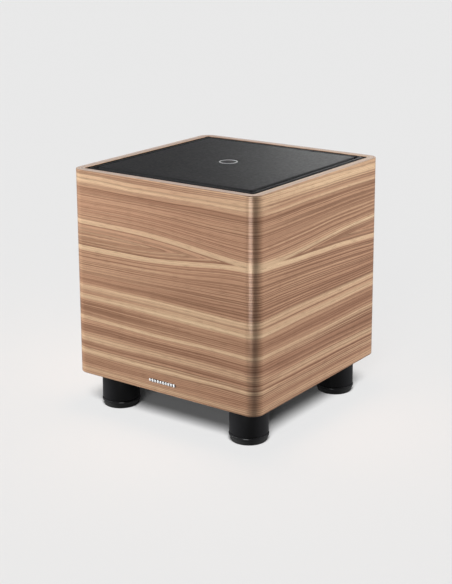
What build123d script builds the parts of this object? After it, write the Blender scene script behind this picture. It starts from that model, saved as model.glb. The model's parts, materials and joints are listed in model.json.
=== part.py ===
from build123d import *
import os
from math import cos, radians, sin

# Powered subwoofer with one woofer that fires down at the floor. Millimetres, +Z up.
# The front faces -Y and the amplifier faces +Y. Everything is drawn about the cabinet's
# vertical centre line with the floor at z = 0; save() then moves it to the row's origin.

# ---- driving dimensions ----
WIDTH = 320.0
DEPTH = 323.0
CABINET_HEIGHT = 305.0
FOOT_HEIGHT = 55.0
CORNER_RADIUS = 17.5

WALL = 18.0                 # finished wall: core board and veneer together
VENEER = 0.8
BOARD = 18.0                # base and top boards
EDGE_BEVEL = 0.8

RIM = 12.5                  # wood left showing around the top panel
RECESS_DEPTH = 6.0
BORDER_INSET = 17.5         # the padded border's outer edge
BORDER_WIDTH = 5.5
PAD_INSET = 26.5            # the padded panel's outer edge
PAD_PROUD = 1.0             # the padded panel stands this far above the rim
PAD_BACKING = 3.5
PAD_EDGE = 2.5

FOOT_X = 115.7
FOOT_Y = 114.7
FOOT_RADIUS = 27.6

FLANGE_RADIUS = 131.0       # ten-inch woofer frame
FLANGE_THICKNESS = 5.0
GASKET = 1.5
CUTOUT_RADIUS = 119.0
CONE_EDGE_RADIUS = 94.0
SURROUND_RADIUS = 117.0
ROLL_RADIUS = 8.5
SKIN = 1.2                  # surround and cone thickness
COIL_FORMER_RADIUS = 25.5
FORMER_WALL = 0.35
COIL_RADIUS = 27.0
POLE_RADIUS = 24.7
GAP_RADIUS = 27.8
MAGNET_RADIUS = 70.0
SPOKES = 6

PLATE_WIDTH = 200.0
PLATE_HEIGHT = 230.0
PLATE = 3.0
PLATE_GASKET = 1.2
PLATE_LAP = 8.0             # how far the plate laps over the rear opening's edge
PLATE_CORNER = 6.0
KNOB_PROUD = 13.0
BADGE_PROUD = 1.2

# ---- places worked out from them ----
BASE_Z = FOOT_HEIGHT
RIM_Z = BASE_Z + CABINET_HEIGHT
RECESS_Z = RIM_Z - RECESS_DEPTH
BASE_TOP_Z = BASE_Z + BOARD
INNER_X = WIDTH / 2 - WALL
INNER_Y = DEPTH / 2 - WALL
FRONT_Y = -DEPTH / 2
REAR_Y = DEPTH / 2
PLATE_IN_Y = REAR_Y - PLATE             # inner face of the amplifier plate
REBATE_Y = PLATE_IN_Y - PLATE_GASKET
PLATE_Z = BASE_Z + 152.0                # centre of the amplifier plate
ORIGIN_Y = (KNOB_PROUD - BADGE_PROUD) / 2   # middle of the row from badge to knobs
FEET = [(sx * FOOT_X, sy * FOOT_Y) for sx in (-1, 1) for sy in (-1, 1)]


# ---- shapes ----
def save(name, *solids):
    """Write one node, moved to the row's origin under the middle of the whole object."""
    pieces = []
    for shape in solids:
        pieces += [Pos(0, -ORIGIN_Y, 0) * solid for solid in shape.solids()]
    group = pieces[0] if len(pieces) == 1 else Compound(children=pieces)
    export_step(group, os.path.join("parts", name + ".step"))


def block(x0, x1, y0, y1, z0, z1):
    return Pos((x0 + x1) / 2, (y0 + y1) / 2, (z0 + z1) / 2) * Box(x1 - x0, y1 - y0, z1 - z0)


def post(radius, z0, z1, x=0.0, y=0.0):
    return Pos(x, y, (z0 + z1) / 2) * Cylinder(radius, z1 - z0)


def ring(outer, inner, z0, z1, x=0.0, y=0.0):
    return post(outer, z0, z1, x, y) - post(inner, z0 - 1, z1 + 1, x, y)


def rod(radius, y0, y1, x, z):
    """A cylinder along Y."""
    return Pos(x, (y0 + y1) / 2, z) * Rot(90, 0, 0) * Cylinder(radius, y1 - y0)


def turned(points):
    """A solid of revolution about Z from an (r, z) outline."""
    return revolve(Plane.XZ * make_face(Polyline(*points, close=True)), Axis.Z)


def slab(inset, z0, z1, radius=None):
    """A plate with the cabinet's outline, inset from the outer faces."""
    corner = CORNER_RADIUS - inset if radius is None else radius
    outline = RectangleRounded(WIDTH - 2 * inset, DEPTH - 2 * inset, corner)
    return Pos(0, 0, z0) * extrude(outline, z1 - z0)


def panel(width, height, radius, y0, y1, x=0.0, z=0.0):
    """A rounded plate facing +Y, between y0 and y1."""
    plate = extrude(RectangleRounded(width, height, radius), y1 - y0)
    return Pos(x, y1, z) * Rot(90, 0, 0) * plate


def around(count, shape, start=0.0):
    return [Rot(0, 0, start + 360.0 * i / count) * shape for i in range(count)]


def minus(shape, *tools):
    for tool in tools:
        shape = shape - tool
    return shape


def wire(points, radii, radius):
    """A round wire along straight runs joined by tangent arcs."""
    path = FilletPolyline(*points, radius=radii)
    section = Plane(origin=path @ 0, z_dir=path % 0) * Circle(radius)
    return sweep(section, path=path)


# ---- feet ----
FOOT_PAD_TOP = 6.5
FOOT_RING_TOP = 11.5
FOOT_GROOVE_TOP = 12.6
FOOT_BORE = 4.2
FOOT_COUNTERBORE = 10.0
BOLT_HEAD_Z = 24.0
BOLT_SEAT_Z = 32.0
BOLT_END_Z = BASE_TOP_Z + 12.0
BOLT_RADIUS = 4.0
INSERT_RADIUS = 5.5


def foot_pieces():
    pad_radius = FOOT_RADIUS - 1.6
    spigot = FOOT_RADIUS - 3.6
    bead_radius = FOOT_RADIUS + 0.75
    column = turned([
        (FOOT_BORE, BOLT_SEAT_Z), (FOOT_COUNTERBORE, BOLT_SEAT_Z),
        (FOOT_COUNTERBORE, FOOT_PAD_TOP), (spigot, FOOT_PAD_TOP),
        (spigot, FOOT_RING_TOP), (FOOT_RADIUS - 1.4, FOOT_RING_TOP),
        (FOOT_RADIUS - 1.4, FOOT_GROOVE_TOP), (FOOT_RADIUS - 0.5, FOOT_GROOVE_TOP),
        (FOOT_RADIUS, FOOT_GROOVE_TOP + 0.5), (FOOT_RADIUS, BASE_Z - 0.6),
        (FOOT_RADIUS - 0.6, BASE_Z), (FOOT_BORE, BASE_Z),
    ])
    middle = (FOOT_PAD_TOP + FOOT_RING_TOP) / 2
    bead_face = make_face([
        Line((spigot, FOOT_PAD_TOP), (bead_radius - 1.6, FOOT_PAD_TOP)),
        ThreePointArc((bead_radius - 1.6, FOOT_PAD_TOP), (bead_radius, middle),
                      (bead_radius - 1.6, FOOT_RING_TOP)),
        Line((bead_radius - 1.6, FOOT_RING_TOP), (spigot, FOOT_RING_TOP)),
        Line((spigot, FOOT_RING_TOP), (spigot, FOOT_PAD_TOP)),
    ])
    bead = revolve(Plane.XZ * bead_face, Axis.Z)
    pad = post(pad_radius, 0, FOOT_PAD_TOP)
    pad = fillet(pad.edges().group_by(Axis.Z)[0], 1.8)
    pad = pad + post(FOOT_COUNTERBORE - 0.1, FOOT_PAD_TOP - 1, FOOT_PAD_TOP + 4)
    bolt = post(6.5, BOLT_HEAD_Z, BOLT_SEAT_Z) + post(BOLT_RADIUS, BOLT_HEAD_Z + 1, BOLT_END_Z)
    socket = extrude(RegularPolygon(3.0, 6), 4)
    bolt = bolt - Pos(0, 0, BOLT_HEAD_Z) * socket
    insert = ring(INSERT_RADIUS, BOLT_RADIUS, BASE_Z, BOLT_END_Z)
    return {"foot_columns": column, "foot_rings": bead, "foot_pads": pad,
            "foot_bolts": bolt, "foot_inserts": insert}


def at_feet(shape):
    return [Pos(x, y, 0) * shape for x, y in FEET]


# ---- cabinet ----
def rear_opening(y0, y1):
    return panel(PLATE_WIDTH - 2 * PLATE_LAP, PLATE_HEIGHT - 2 * PLATE_LAP, PLATE_CORNER,
                 y0, y1, 0, PLATE_Z)


def rear_rebate(y0, y1):
    return panel(PLATE_WIDTH + 0.6, PLATE_HEIGHT + 0.6, PLATE_CORNER, y0, y1, 0, PLATE_Z)


def cabinet_core():
    core = slab(VENEER, BASE_Z, RIM_Z - VENEER)
    core -= block(-INNER_X, INNER_X, -INNER_Y, INNER_Y, BASE_Z - 1, RIM_Z + 1)
    core -= slab(RIM, RECESS_Z, RIM_Z + 1)
    core -= rear_opening(INNER_Y - 5, REAR_Y + 1)
    core -= rear_rebate(REBATE_Y, REAR_Y + 1)
    return core


def walnut_veneer():
    skin = slab(0, BASE_Z, RIM_Z)
    skin = chamfer(skin.edges().group_by(Axis.Z)[0], EDGE_BEVEL)
    skin = fillet(skin.edges().group_by(Axis.Z)[-1], EDGE_BEVEL)
    skin -= slab(VENEER, BASE_Z - 1, RIM_Z - VENEER)
    skin -= slab(RIM, RIM_Z - 2, RIM_Z + 1)
    skin -= rear_rebate(REAR_Y - 2, REAR_Y + 1)
    return skin


def base_board():
    board = block(-INNER_X, INNER_X, -INNER_Y, INNER_Y, BASE_Z, BASE_TOP_Z)
    board -= post(CUTOUT_RADIUS, BASE_Z - 1, BASE_TOP_Z + 1)
    board -= post(FLANGE_RADIUS + 0.5, BASE_Z - 1, BASE_Z + FLANGE_THICKNESS + GASKET)
    return minus(board, *at_feet(post(INSERT_RADIUS, BASE_Z - 1, BASE_TOP_Z + 1)))


FOOT_BLOCK = 42.0


def foot_block(x, y):
    """Hardwood block over a foot, which takes the end of its threaded insert."""
    sx = 1 if x > 0 else -1
    sy = 1 if y > 0 else -1
    blank = block(0, FOOT_BLOCK, 0, FOOT_BLOCK, BASE_TOP_Z, BASE_TOP_Z + BOARD)
    corner = Pos(sx * INNER_X, sy * INNER_Y, 0)
    turn = {(1, 1): 180, (-1, 1): 270, (-1, -1): 0, (1, -1): 90}[(sx, sy)]
    return corner * Rot(0, 0, turn) * blank - post(INSERT_RADIUS, BASE_TOP_Z - 1, BOLT_END_Z, x, y)


BRACE_Z = 216.0
BRACE_WIDTH = 36.0


def brace():
    """U-shaped brace that ties the front and side walls, open towards the amplifier."""
    frame = block(-INNER_X, INNER_X, -INNER_Y, 95, BRACE_Z, BRACE_Z + BOARD)
    frame -= block(-INNER_X + BRACE_WIDTH, INNER_X - BRACE_WIDTH,
                   -INNER_Y + BRACE_WIDTH, 100, BRACE_Z - 1, BRACE_Z + BOARD + 1)
    for side in (-1, 1):
        frame -= post(10, BRACE_Z - 1, BRACE_Z + BOARD + 1, side * (INNER_X - BRACE_WIDTH / 2), 60)
        frame -= post(10, BRACE_Z - 1, BRACE_Z + BOARD + 1, side * (INNER_X - BRACE_WIDTH / 2), -50)
    return frame


WADDING = 12.0


def wadding():
    """Polyester wadding on the walls above and below the brace, and under the top board."""
    sheets = []
    levels = [(BASE_TOP_Z + 22, BRACE_Z - 2), (BRACE_Z + BOARD + 2, RECESS_Z - BOARD - WADDING - 2)]
    for z0, z1 in levels:
        sheets.append(block(-INNER_X, -INNER_X + WADDING, -115, 90, z0, z1))
        sheets.append(block(INNER_X - WADDING, INNER_X, -115, 90, z0, z1))
        sheets.append(block(-120, 120, -INNER_Y, -INNER_Y + WADDING, z0, z1))
    sheets.append(block(-125, 125, -130, 85, RECESS_Z - BOARD - WADDING, RECESS_Z - BOARD))
    return sheets


# ---- top panel ----
EMBLEM_RECESS_RADIUS = 18.0
EMBLEM_RECESS = 0.5
EMBLEM_RADIUS = 13.5
EMBLEM_WIDTH = 1.6
PAD_Z = RIM_Z + PAD_PROUD


def top_border():
    outer = slab(BORDER_INSET, RECESS_Z, RIM_Z - 0.2, 4.0)
    outer = fillet(outer.edges().group_by(Axis.Z)[-1], 1.5)
    return outer - slab(BORDER_INSET + BORDER_WIDTH, RECESS_Z - 1, RIM_Z + 1, 2.0)


def top_pad():
    pad = slab(PAD_INSET, RECESS_Z, PAD_Z, 5.0)
    pad = fillet(pad.edges().group_by(Axis.Z)[-1], PAD_EDGE)
    pad -= post(EMBLEM_RECESS_RADIUS, PAD_Z - EMBLEM_RECESS, PAD_Z + 1)
    return pad - pad_backing()


def pad_backing():
    return slab(PAD_INSET + 1.2, RECESS_Z, RECESS_Z + PAD_BACKING, 3.0)


def emblem_ring():
    floor = PAD_Z - EMBLEM_RECESS
    return ring(EMBLEM_RADIUS, EMBLEM_RADIUS - EMBLEM_WIDTH, floor, floor + 0.4)


BADGE_LENGTH = 47.0
BADGE_HEIGHT = 4.6
BADGE_Z = BASE_Z + 16.5


def front_badge():
    bar = panel(BADGE_LENGTH, BADGE_HEIGHT, BADGE_HEIGHT / 2 - 0.01,
                FRONT_Y - BADGE_PROUD, FRONT_Y, 0, BADGE_Z)
    return chamfer(bar.edges().group_by(Axis.Y)[0], 0.4)


# ---- woofer: the frame's front face is level with the cabinet's underside ----
SURROUND_Z = BASE_Z + 3.0                  # outer face of the surround's flat lips
SEAT_Z = SURROUND_Z + SKIN
LEDGE_Z = BASE_Z + 58.0                    # the frame's spider ledge
FRAME_BACK_Z = BASE_Z + 90.0
TOP_PLATE_Z = FRAME_BACK_Z + 10.0
MAGNET_Z = TOP_PLATE_Z + 36.0
YOKE_Z = MAGNET_Z + 10.0
NECK_Z = BASE_Z + 45.0
COIL_LOW_Z = FRAME_BACK_Z - 9.0
COIL_HIGH_Z = COIL_LOW_Z + 28.0
TERMINAL_Z = BASE_Z + 46.0
LEAD_X = 7.0
LEAD_RADIUS = 0.9
FRAME_WALL_FOOT = 114.0                    # outer radius of the frame's wall, at its two ends
FRAME_WALL_HEAD = 76.0


def frame_radius(z):
    """Outer radius of the woofer frame's sloping wall at height z."""
    low, high = BASE_Z + 11, FRAME_BACK_Z - 6
    return FRAME_WALL_FOOT + (FRAME_WALL_HEAD - FRAME_WALL_FOOT) * (z - low) / (high - low)


def woofer_frame():
    seat = SURROUND_RADIUS + 0.5
    frame = turned([
        (seat, BASE_Z), (FLANGE_RADIUS, BASE_Z), (FLANGE_RADIUS, BASE_Z + FLANGE_THICKNESS),
        (seat + 0.5, BASE_Z + FLANGE_THICKNESS), (seat + 0.5, BASE_Z + 8),
        (FRAME_WALL_FOOT, BASE_Z + 11), (FRAME_WALL_HEAD, FRAME_BACK_Z - 6),
        (FRAME_WALL_HEAD, FRAME_BACK_Z), (40, FRAME_BACK_Z), (40, FRAME_BACK_Z - 3.5),
        (71, FRAME_BACK_Z - 3.5), (110.5, BASE_Z + 9), (110.5, SEAT_Z), (seat, SEAT_Z),
    ])
    for cutter in around(SPOKES, block(60, 140, -31, 31, BASE_Z + 14, LEDGE_Z - 3)):
        frame -= cutter
    for cutter in around(SPOKES, block(50, 140, -25, 25, LEDGE_Z + 7, FRAME_BACK_Z - 8)):
        frame -= cutter
    frame += ring(frame_radius(LEDGE_Z) - 1.5, 77, LEDGE_Z, LEDGE_Z + 3.5)
    for hole in screw_holes():
        frame -= hole
    for side in (-1, 1):
        frame -= rod(2.2, 70, 110, side * LEAD_X, TERMINAL_Z)
    return frame


WOOFER_SCREWS = 8
WOOFER_SCREW_CIRCLE = 124.5


def screw_places(count, radius, start):
    steps = [radians(start + 360.0 * i / count) for i in range(count)]
    return [(radius * cos(a), radius * sin(a)) for a in steps]


def screw_holes():
    return [post(2.4, BASE_Z - 1, BASE_Z + 12, x, y)
            for x, y in screw_places(WOOFER_SCREWS, WOOFER_SCREW_CIRCLE, 22.5)]


def woofer_screws():
    head = post(4.2, BASE_Z - 1.6, BASE_Z)
    head = fillet(head.edges().group_by(Axis.Z)[0], 1.0)
    head -= Pos(0, 0, BASE_Z - 1.7) * extrude(RegularPolygon(1.5, 6), 1.0)
    screw = head + post(2.2, BASE_Z - 0.5, BASE_TOP_Z - 1)
    return [Pos(x, y, 0) * screw
            for x, y in screw_places(WOOFER_SCREWS, WOOFER_SCREW_CIRCLE, 22.5)]


def surround():
    low = SURROUND_Z
    high = SEAT_Z
    inner_lip = CONE_EDGE_RADIUS - 6
    start = CONE_EDGE_RADIUS
    end = start + 2 * ROLL_RADIUS
    centre = start + ROLL_RADIUS
    outline = make_face([
        Line((inner_lip, low), (start, low)),
        ThreePointArc((start, low), (centre, low - ROLL_RADIUS), (end, low)),
        Line((end, low), (SURROUND_RADIUS, low)),
        Line((SURROUND_RADIUS, low), (SURROUND_RADIUS, high)),
        Line((SURROUND_RADIUS, high), (end - SKIN, high)),
        Line((end - SKIN, high), (end - SKIN, low)),
        ThreePointArc((end - SKIN, low), (centre, low - ROLL_RADIUS + SKIN), (start + SKIN, low)),
        Line((start + SKIN, low), (start + SKIN, high)),
        Line((start + SKIN, high), (inner_lip, high)),
        Line((inner_lip, high), (inner_lip, low)),
    ])
    return revolve(Plane.XZ * outline, Axis.Z)


FORMER_OUTER = COIL_FORMER_RADIUS + FORMER_WALL


def cone():
    edge = SEAT_Z + SKIN
    return turned([
        (CONE_EDGE_RADIUS, SEAT_Z), (CONE_EDGE_RADIUS, edge), (CONE_EDGE_RADIUS - 5, edge),
        (FORMER_OUTER + 1.1, NECK_Z + 1.5), (FORMER_OUTER, NECK_Z + 1.5),
        (FORMER_OUTER, NECK_Z), (CONE_EDGE_RADIUS - 5.8, SEAT_Z),
    ])


CAP_RADIUS = 37.5
CAP_RISE = 12.0


def dust_cap():
    fall = (NECK_Z - SEAT_Z) / (CONE_EDGE_RADIUS - 5.8 - FORMER_OUTER)
    rim_z = NECK_Z - fall * (CAP_RADIUS - FORMER_OUTER)
    ball = (CAP_RADIUS ** 2 + CAP_RISE ** 2) / (2 * CAP_RISE)
    centre_z = rim_z - CAP_RISE + ball
    shell = Pos(0, 0, centre_z) * (Sphere(ball) - Sphere(ball - 0.9))
    return shell & post(CAP_RADIUS, rim_z - CAP_RISE - 5, rim_z + 3)


SPIDER_RADIUS = 84.0
SPIDER_FOLDS = 5


def spider():
    """Corrugated suspension disc from the coil former to the frame's ledge."""
    inner = FORMER_OUTER
    flat = 77.0
    cloth = 0.7
    folds = 2.0
    top = LEDGE_Z - folds
    pitch = (flat - inner - 4) / SPIDER_FOLDS
    upper = [(inner, top)]
    for i in range(SPIDER_FOLDS):
        start = inner + 3 + i * pitch
        upper += [(start, top), (start + pitch * 0.25, top + folds), (start + pitch * 0.75, top - folds)]
    upper += [(flat, top + folds), (SPIDER_RADIUS, top + folds)]
    lower = [(r, z - cloth) for r, z in reversed(upper)]
    return turned(upper + lower)


def terminal_block():
    y = frame_radius(TERMINAL_Z)
    body = block(-12, 12, y - 3, y + 6, TERMINAL_Z - 6, TERMINAL_Z + 6)
    for side in (-1, 1):
        body -= rod(1.6, y - 4, y + 7, side * LEAD_X, TERMINAL_Z)
    return body


def terminal_lugs():
    y = frame_radius(TERMINAL_Z)
    return [minus(block(side * LEAD_X - 2.4, side * LEAD_X + 2.4, y + 6, y + 7,
                        TERMINAL_Z - 3, TERMINAL_Z + 9),
                  rod(1.0, y + 5, y + 8, side * LEAD_X, TERMINAL_Z + 6)) for side in (-1, 1)]


def tinsel_leads():
    """Braided leads from the terminals to the back of the cone."""
    y = frame_radius(TERMINAL_Z)
    cone_back = 48.0
    leads = []
    for side in (-1, 1):
        x = side * LEAD_X
        points = [(x, y + 5.9, TERMINAL_Z), (x, 66, TERMINAL_Z - 1), (x, cone_back, BASE_Z + 33.6)]
        leads.append(wire(points, [12], LEAD_RADIUS))
    return leads


# ---- amplifier ----
KNOB_Z = 298.0
KNOB_RADIUS = 9.0
LEVEL_X = -58.0
CROSSOVER_X = -14.0
SWITCH_X = 52.0
PHASE_Z = 303.0
POWER_MODE_Z = 276.0
SWITCH_TRAVEL = 3.0         # from the middle of the slot to either end
RCA_RADIUS = 4.15
RCA_LENGTH = 9.5
RCA_PLACES = [(x, z) for x in (-66.0, -46.0) for z in (237.0, 257.0)]
LED_X = 52.0
LED_Z = 250.0
INLET_X = 45.0
INLET_Z = 124.0
ROCKER_Z = 172.0
ROCKER_TILT = 9.0
TRANSFORMER_X = -42.0
TRANSFORMER_Z = 152.0
BOARD_Y = 134.0
BOARD_LOW_Z = 198.0
BOARD_HIGH_Z = 284.0
BOARD_HALF = 84.0
STANDOFFS = [(x, z) for x in (-78.0, 78.0) for z in (206.0, 276.0)]

INLET_WIDTH = 48.0          # mains inlet with a fuse drawer below the socket
INLET_HEIGHT = 33.0
SOCKET_WIDTH = 24.4
SOCKET_HEIGHT = 16.6
SOCKET_DEPTH = 16.0
DRAWER_WIDTH = 26.0
DRAWER_HEIGHT = 7.5
DRAWER_DEPTH = 22.0
DRAWER_Z = INLET_Z - 11.0
SOCKET_Z = INLET_Z + 4.5
ROCKER_WIDTH = 13.0
ROCKER_HEIGHT = 19.5


def amp_screw_places():
    edge_x = PLATE_WIDTH / 2 - 4
    edge_z = PLATE_HEIGHT / 2 - 4
    places = [(sx * (edge_x - 1), PLATE_Z + sz * (edge_z - 1)) for sx in (-1, 1) for sz in (-1, 1)]
    places += [(sx * edge_x, PLATE_Z + dz) for sx in (-1, 1) for dz in (-37, 37)]
    places += [(0, PLATE_Z + sz * edge_z) for sz in (-1, 1)]
    return places


def amp_screws():
    screw = rod(3.3, REAR_Y, REAR_Y + 1.6, 0, 0)
    screw = fillet(screw.edges().group_by(Axis.Y)[-1], 0.9)
    screw += rod(1.8, REAR_Y - 13, REAR_Y + 0.5, 0, 0)
    recess = Pos(0, REAR_Y + 1.7, 0) * Rot(90, 0, 0) * extrude(RegularPolygon(1.2, 6), 1.0)
    screw -= recess
    return [Pos(x, 0, z) * screw for x, z in amp_screw_places()]


def amp_plate():
    plate = panel(PLATE_WIDTH, PLATE_HEIGHT, PLATE_CORNER - 0.3, PLATE_IN_Y, REAR_Y, 0, PLATE_Z)
    for x, z in amp_screw_places():
        plate -= rod(1.9, PLATE_IN_Y - 1, REAR_Y + 1, x, z)
    for x in (LEVEL_X, CROSSOVER_X):
        plate -= rod(3.6, PLATE_IN_Y - 1, REAR_Y + 1, x, KNOB_Z)
    for z in (PHASE_Z, POWER_MODE_Z):
        half = LEVER_HALF + SWITCH_TRAVEL + 0.3
        plate -= block(SWITCH_X - half, SWITCH_X + half, PLATE_IN_Y - 1, REAR_Y + 1, z - 3.2, z + 3.2)
    for x, z in RCA_PLACES:
        plate -= rod(5.2, PLATE_IN_Y - 1, REAR_Y + 1, x, z)
    plate -= rod(2.55, PLATE_IN_Y - 1, REAR_Y + 1, LED_X, LED_Z)
    plate -= panel(INLET_WIDTH - 16, INLET_HEIGHT - 4, 2, PLATE_IN_Y - 1, REAR_Y + 1, INLET_X, INLET_Z)
    plate -= panel(ROCKER_WIDTH + 6, ROCKER_HEIGHT + 6, 1, PLATE_IN_Y - 1, REAR_Y + 1, INLET_X, ROCKER_Z)
    for x, z in STANDOFFS:
        plate -= rod(1.6, PLATE_IN_Y - 1, REAR_Y + 1, x, z)
    plate -= rod(2.6, PLATE_IN_Y - 1, REAR_Y + 1, TRANSFORMER_X, TRANSFORMER_Z)
    for side in (-1, 1):
        plate -= rod(1.7, PLATE_IN_Y - 1, REAR_Y + 1, INLET_X + side * 20, INLET_Z)
    return plate


def amp_gasket():
    sheet = panel(PLATE_WIDTH, PLATE_HEIGHT, PLATE_CORNER - 0.3, REBATE_Y, PLATE_IN_Y, 0, PLATE_Z)
    sheet -= rear_opening(REBATE_Y - 1, PLATE_IN_Y + 1)
    for x, z in amp_screw_places():
        sheet -= rod(1.9, REBATE_Y - 1, PLATE_IN_Y + 1, x, z)
    return sheet


def knob(x):
    """Turned knob with a pointer line, pushed on to its pot's shaft."""
    body = rod(KNOB_RADIUS, REAR_Y + 1, REAR_Y + KNOB_PROUD, 0, 0)
    body = chamfer(body.edges().group_by(Axis.Y)[-1], 0.8)
    body -= block(-0.6, 0.6, REAR_Y + KNOB_PROUD - 0.6, REAR_Y + KNOB_PROUD + 1, 2.5, KNOB_RADIUS + 1)
    for i in range(24):
        groove = rod(0.5, REAR_Y, REAR_Y + KNOB_PROUD - 2, KNOB_RADIUS + 0.15, 0)
        body -= Rot(0, 15.0 * i + 7.5, 0) * groove
    body -= rod(3.0, REAR_Y, REAR_Y + 9, 0, 0)
    return Pos(x, 0, KNOB_Z) * body


def pot_shaft(x):
    return rod(3.0, PLATE_IN_Y - 6, REAR_Y + 9, x, KNOB_Z)


def pots():
    bodies = []
    for x in (LEVEL_X, CROSSOVER_X):
        case = block(x - 8, x + 8, PLATE_IN_Y - 9, PLATE_IN_Y, KNOB_Z - 8, KNOB_Z + 8)
        case += rod(3.55, PLATE_IN_Y - 1, REAR_Y + 0.6, x, KNOB_Z)
        bodies.append(case - rod(3.05, PLATE_IN_Y - 6.5, REAR_Y + 2, x, KNOB_Z))
    return bodies


LEVER_HALF = 1.9
CARRIAGE_HALF = 4.0


def slide_button(x, z):
    """Switch lever on a carriage that slides along X behind the plate."""
    lever = block(x - LEVER_HALF, x + LEVER_HALF, PLATE_IN_Y - 2, REAR_Y + 2.6, z - 2.6, z + 2.6)
    lever = chamfer(lever.edges().group_by(Axis.Y)[-1], 0.5)
    carriage = block(x - CARRIAGE_HALF, x + CARRIAGE_HALF, PLATE_IN_Y - 4, PLATE_IN_Y - 1.5, z - 3, z + 3)
    return lever + carriage


def switch_cases():
    cases = []
    for z in (PHASE_Z, POWER_MODE_Z):
        case = block(SWITCH_X - 12, SWITCH_X + 12, PLATE_IN_Y - 9, PLATE_IN_Y, z - 5, z + 5)
        half = CARRIAGE_HALF + SWITCH_TRAVEL + 0.3
        case -= block(SWITCH_X - half, SWITCH_X + half, PLATE_IN_Y - 4.5, PLATE_IN_Y + 1, z - 3.3, z + 3.3)
        cases.append(case)
    return cases


def rca_shells():
    shells = []
    for x, z in RCA_PLACES:
        shell = rod(RCA_RADIUS, PLATE_IN_Y - 4, REAR_Y + RCA_LENGTH, x, z)
        shell = chamfer(shell.edges().group_by(Axis.Y)[-1], 0.4)
        shell += rod(5.6, REAR_Y, REAR_Y + 1.2, x, z)
        shells.append(shell - rod(3.5, PLATE_IN_Y - 5, REAR_Y + RCA_LENGTH + 1, x, z))
    return shells


def rca_cores():
    cores = []
    for x, z in RCA_PLACES:
        core = rod(3.5, PLATE_IN_Y - 4, REAR_Y + RCA_LENGTH - 0.6, x, z)
        cores.append(core - rod(1.6, REAR_Y - 4, REAR_Y + RCA_LENGTH, x, z))
    return cores


def rca_carrier():
    """Moulding that holds the four phono jacks on the plate's inner face."""
    xs = [x for x, _ in RCA_PLACES]
    zs = [z for _, z in RCA_PLACES]
    case = block(min(xs) - 9, max(xs) + 9, PLATE_IN_Y - 13, PLATE_IN_Y, min(zs) - 9, max(zs) + 9)
    for x, z in RCA_PLACES:
        case += rod(5.1, PLATE_IN_Y - 1, REAR_Y, x, z)
    for x, z in RCA_PLACES:
        case -= rod(RCA_RADIUS, PLATE_IN_Y - 4, REAR_Y + 1, x, z)
    return case


def mains_inlet():
    flange = panel(INLET_WIDTH, INLET_HEIGHT, 3, REAR_Y, REAR_Y + 2.2, INLET_X, INLET_Z)
    flange = fillet(flange.edges().group_by(Axis.Y)[-1], 0.8)
    body = panel(INLET_WIDTH - 17, INLET_HEIGHT - 5, 1.5, REAR_Y - 26, REAR_Y + 1, INLET_X, INLET_Z)
    body = body + flange
    socket = extrude(RectangleRounded(SOCKET_WIDTH, SOCKET_HEIGHT, 2), SOCKET_DEPTH)
    cut = [(-SOCKET_WIDTH / 2, SOCKET_HEIGHT / 2), (-SOCKET_WIDTH / 2 + 5, SOCKET_HEIGHT / 2),
           (-SOCKET_WIDTH / 2, SOCKET_HEIGHT / 2 - 5)]
    for sign in (-1, 1):
        corner = make_face(Polyline(*[(sign * x, y) for x, y in cut], close=True))
        socket -= extrude(corner, SOCKET_DEPTH)
    body -= Pos(INLET_X, REAR_Y + 2.2, SOCKET_Z) * Rot(90, 0, 0) * socket
    body -= block(INLET_X - DRAWER_WIDTH / 2 - 0.1, INLET_X + DRAWER_WIDTH / 2 + 0.1,
                  REAR_Y + 2.2 - DRAWER_DEPTH - 0.3, REAR_Y + 3,
                  DRAWER_Z - DRAWER_HEIGHT / 2 + 1.4, DRAWER_Z + DRAWER_HEIGHT / 2 - 0.4)
    for side in (-1, 1):
        body -= rod(1.7, REAR_Y - 1, REAR_Y + 3, INLET_X + side * 20, INLET_Z)
    for x, z in pin_places():
        body -= block(x - 1.0, x + 1.0, REAR_Y - 32, REAR_Y - 5, z - 2.0, z + 2.0)
    return body


def pin_places():
    return [(INLET_X - 7, SOCKET_Z - 2), (INLET_X, SOCKET_Z + 2), (INLET_X + 7, SOCKET_Z - 2)]


def inlet_pins():
    return [block(x - 1.0, x + 1.0, REAR_Y - 32, REAR_Y - 2, z - 2.0, z + 2.0)
            for x, z in pin_places()]


def inlet_screws():
    screw = rod(3.0, REAR_Y + 2.2, REAR_Y + 3.6, 0, INLET_Z)
    screw = fillet(screw.edges().group_by(Axis.Y)[-1], 0.8)
    screw += rod(1.6, REAR_Y - 8, REAR_Y + 2.5, 0, INLET_Z)
    nut = Pos(0, PLATE_IN_Y, INLET_Z) * Rot(90, 0, 0) * extrude(RegularPolygon(3.2, 6), 2.4)
    return [Pos(INLET_X + side * 20, 0, 0) * (screw + nut) for side in (-1, 1)]


def fuse_drawer():
    z0 = DRAWER_Z - DRAWER_HEIGHT / 2 + 1.5
    z1 = DRAWER_Z + DRAWER_HEIGHT / 2 - 0.5
    half = DRAWER_WIDTH / 2
    y1 = REAR_Y + 2.2
    tray = block(INLET_X - half, INLET_X + half, y1 - DRAWER_DEPTH, y1, z0, z1)
    face = block(INLET_X - half - 1, INLET_X + half + 1, y1, y1 + 1.6, z0 - 0.4, z1 + 0.4)
    face = chamfer(face.edges().group_by(Axis.Y)[-1], 0.5)
    tray = tray + face
    tray -= block(INLET_X - half + 1.5, INLET_X + half - 1.5, y1 - DRAWER_DEPTH + 1, y1 - 4, z0 + 0.8, z1 + 1)
    return tray


def fuse():
    """Ceramic fuse that lies across the drawer, in its two metal caps."""
    y = REAR_Y + 2.2 - DRAWER_DEPTH / 2 - 3
    z = DRAWER_Z + 0.6
    across = Rot(0, 90, 0)
    place = Pos(INLET_X, y, z)
    caps = [Pos(INLET_X + side * 8.0, y, z) * across * Cylinder(2.0, 4) for side in (-1, 1)]
    return [place * across * Cylinder(1.9, 12)] + caps


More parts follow.
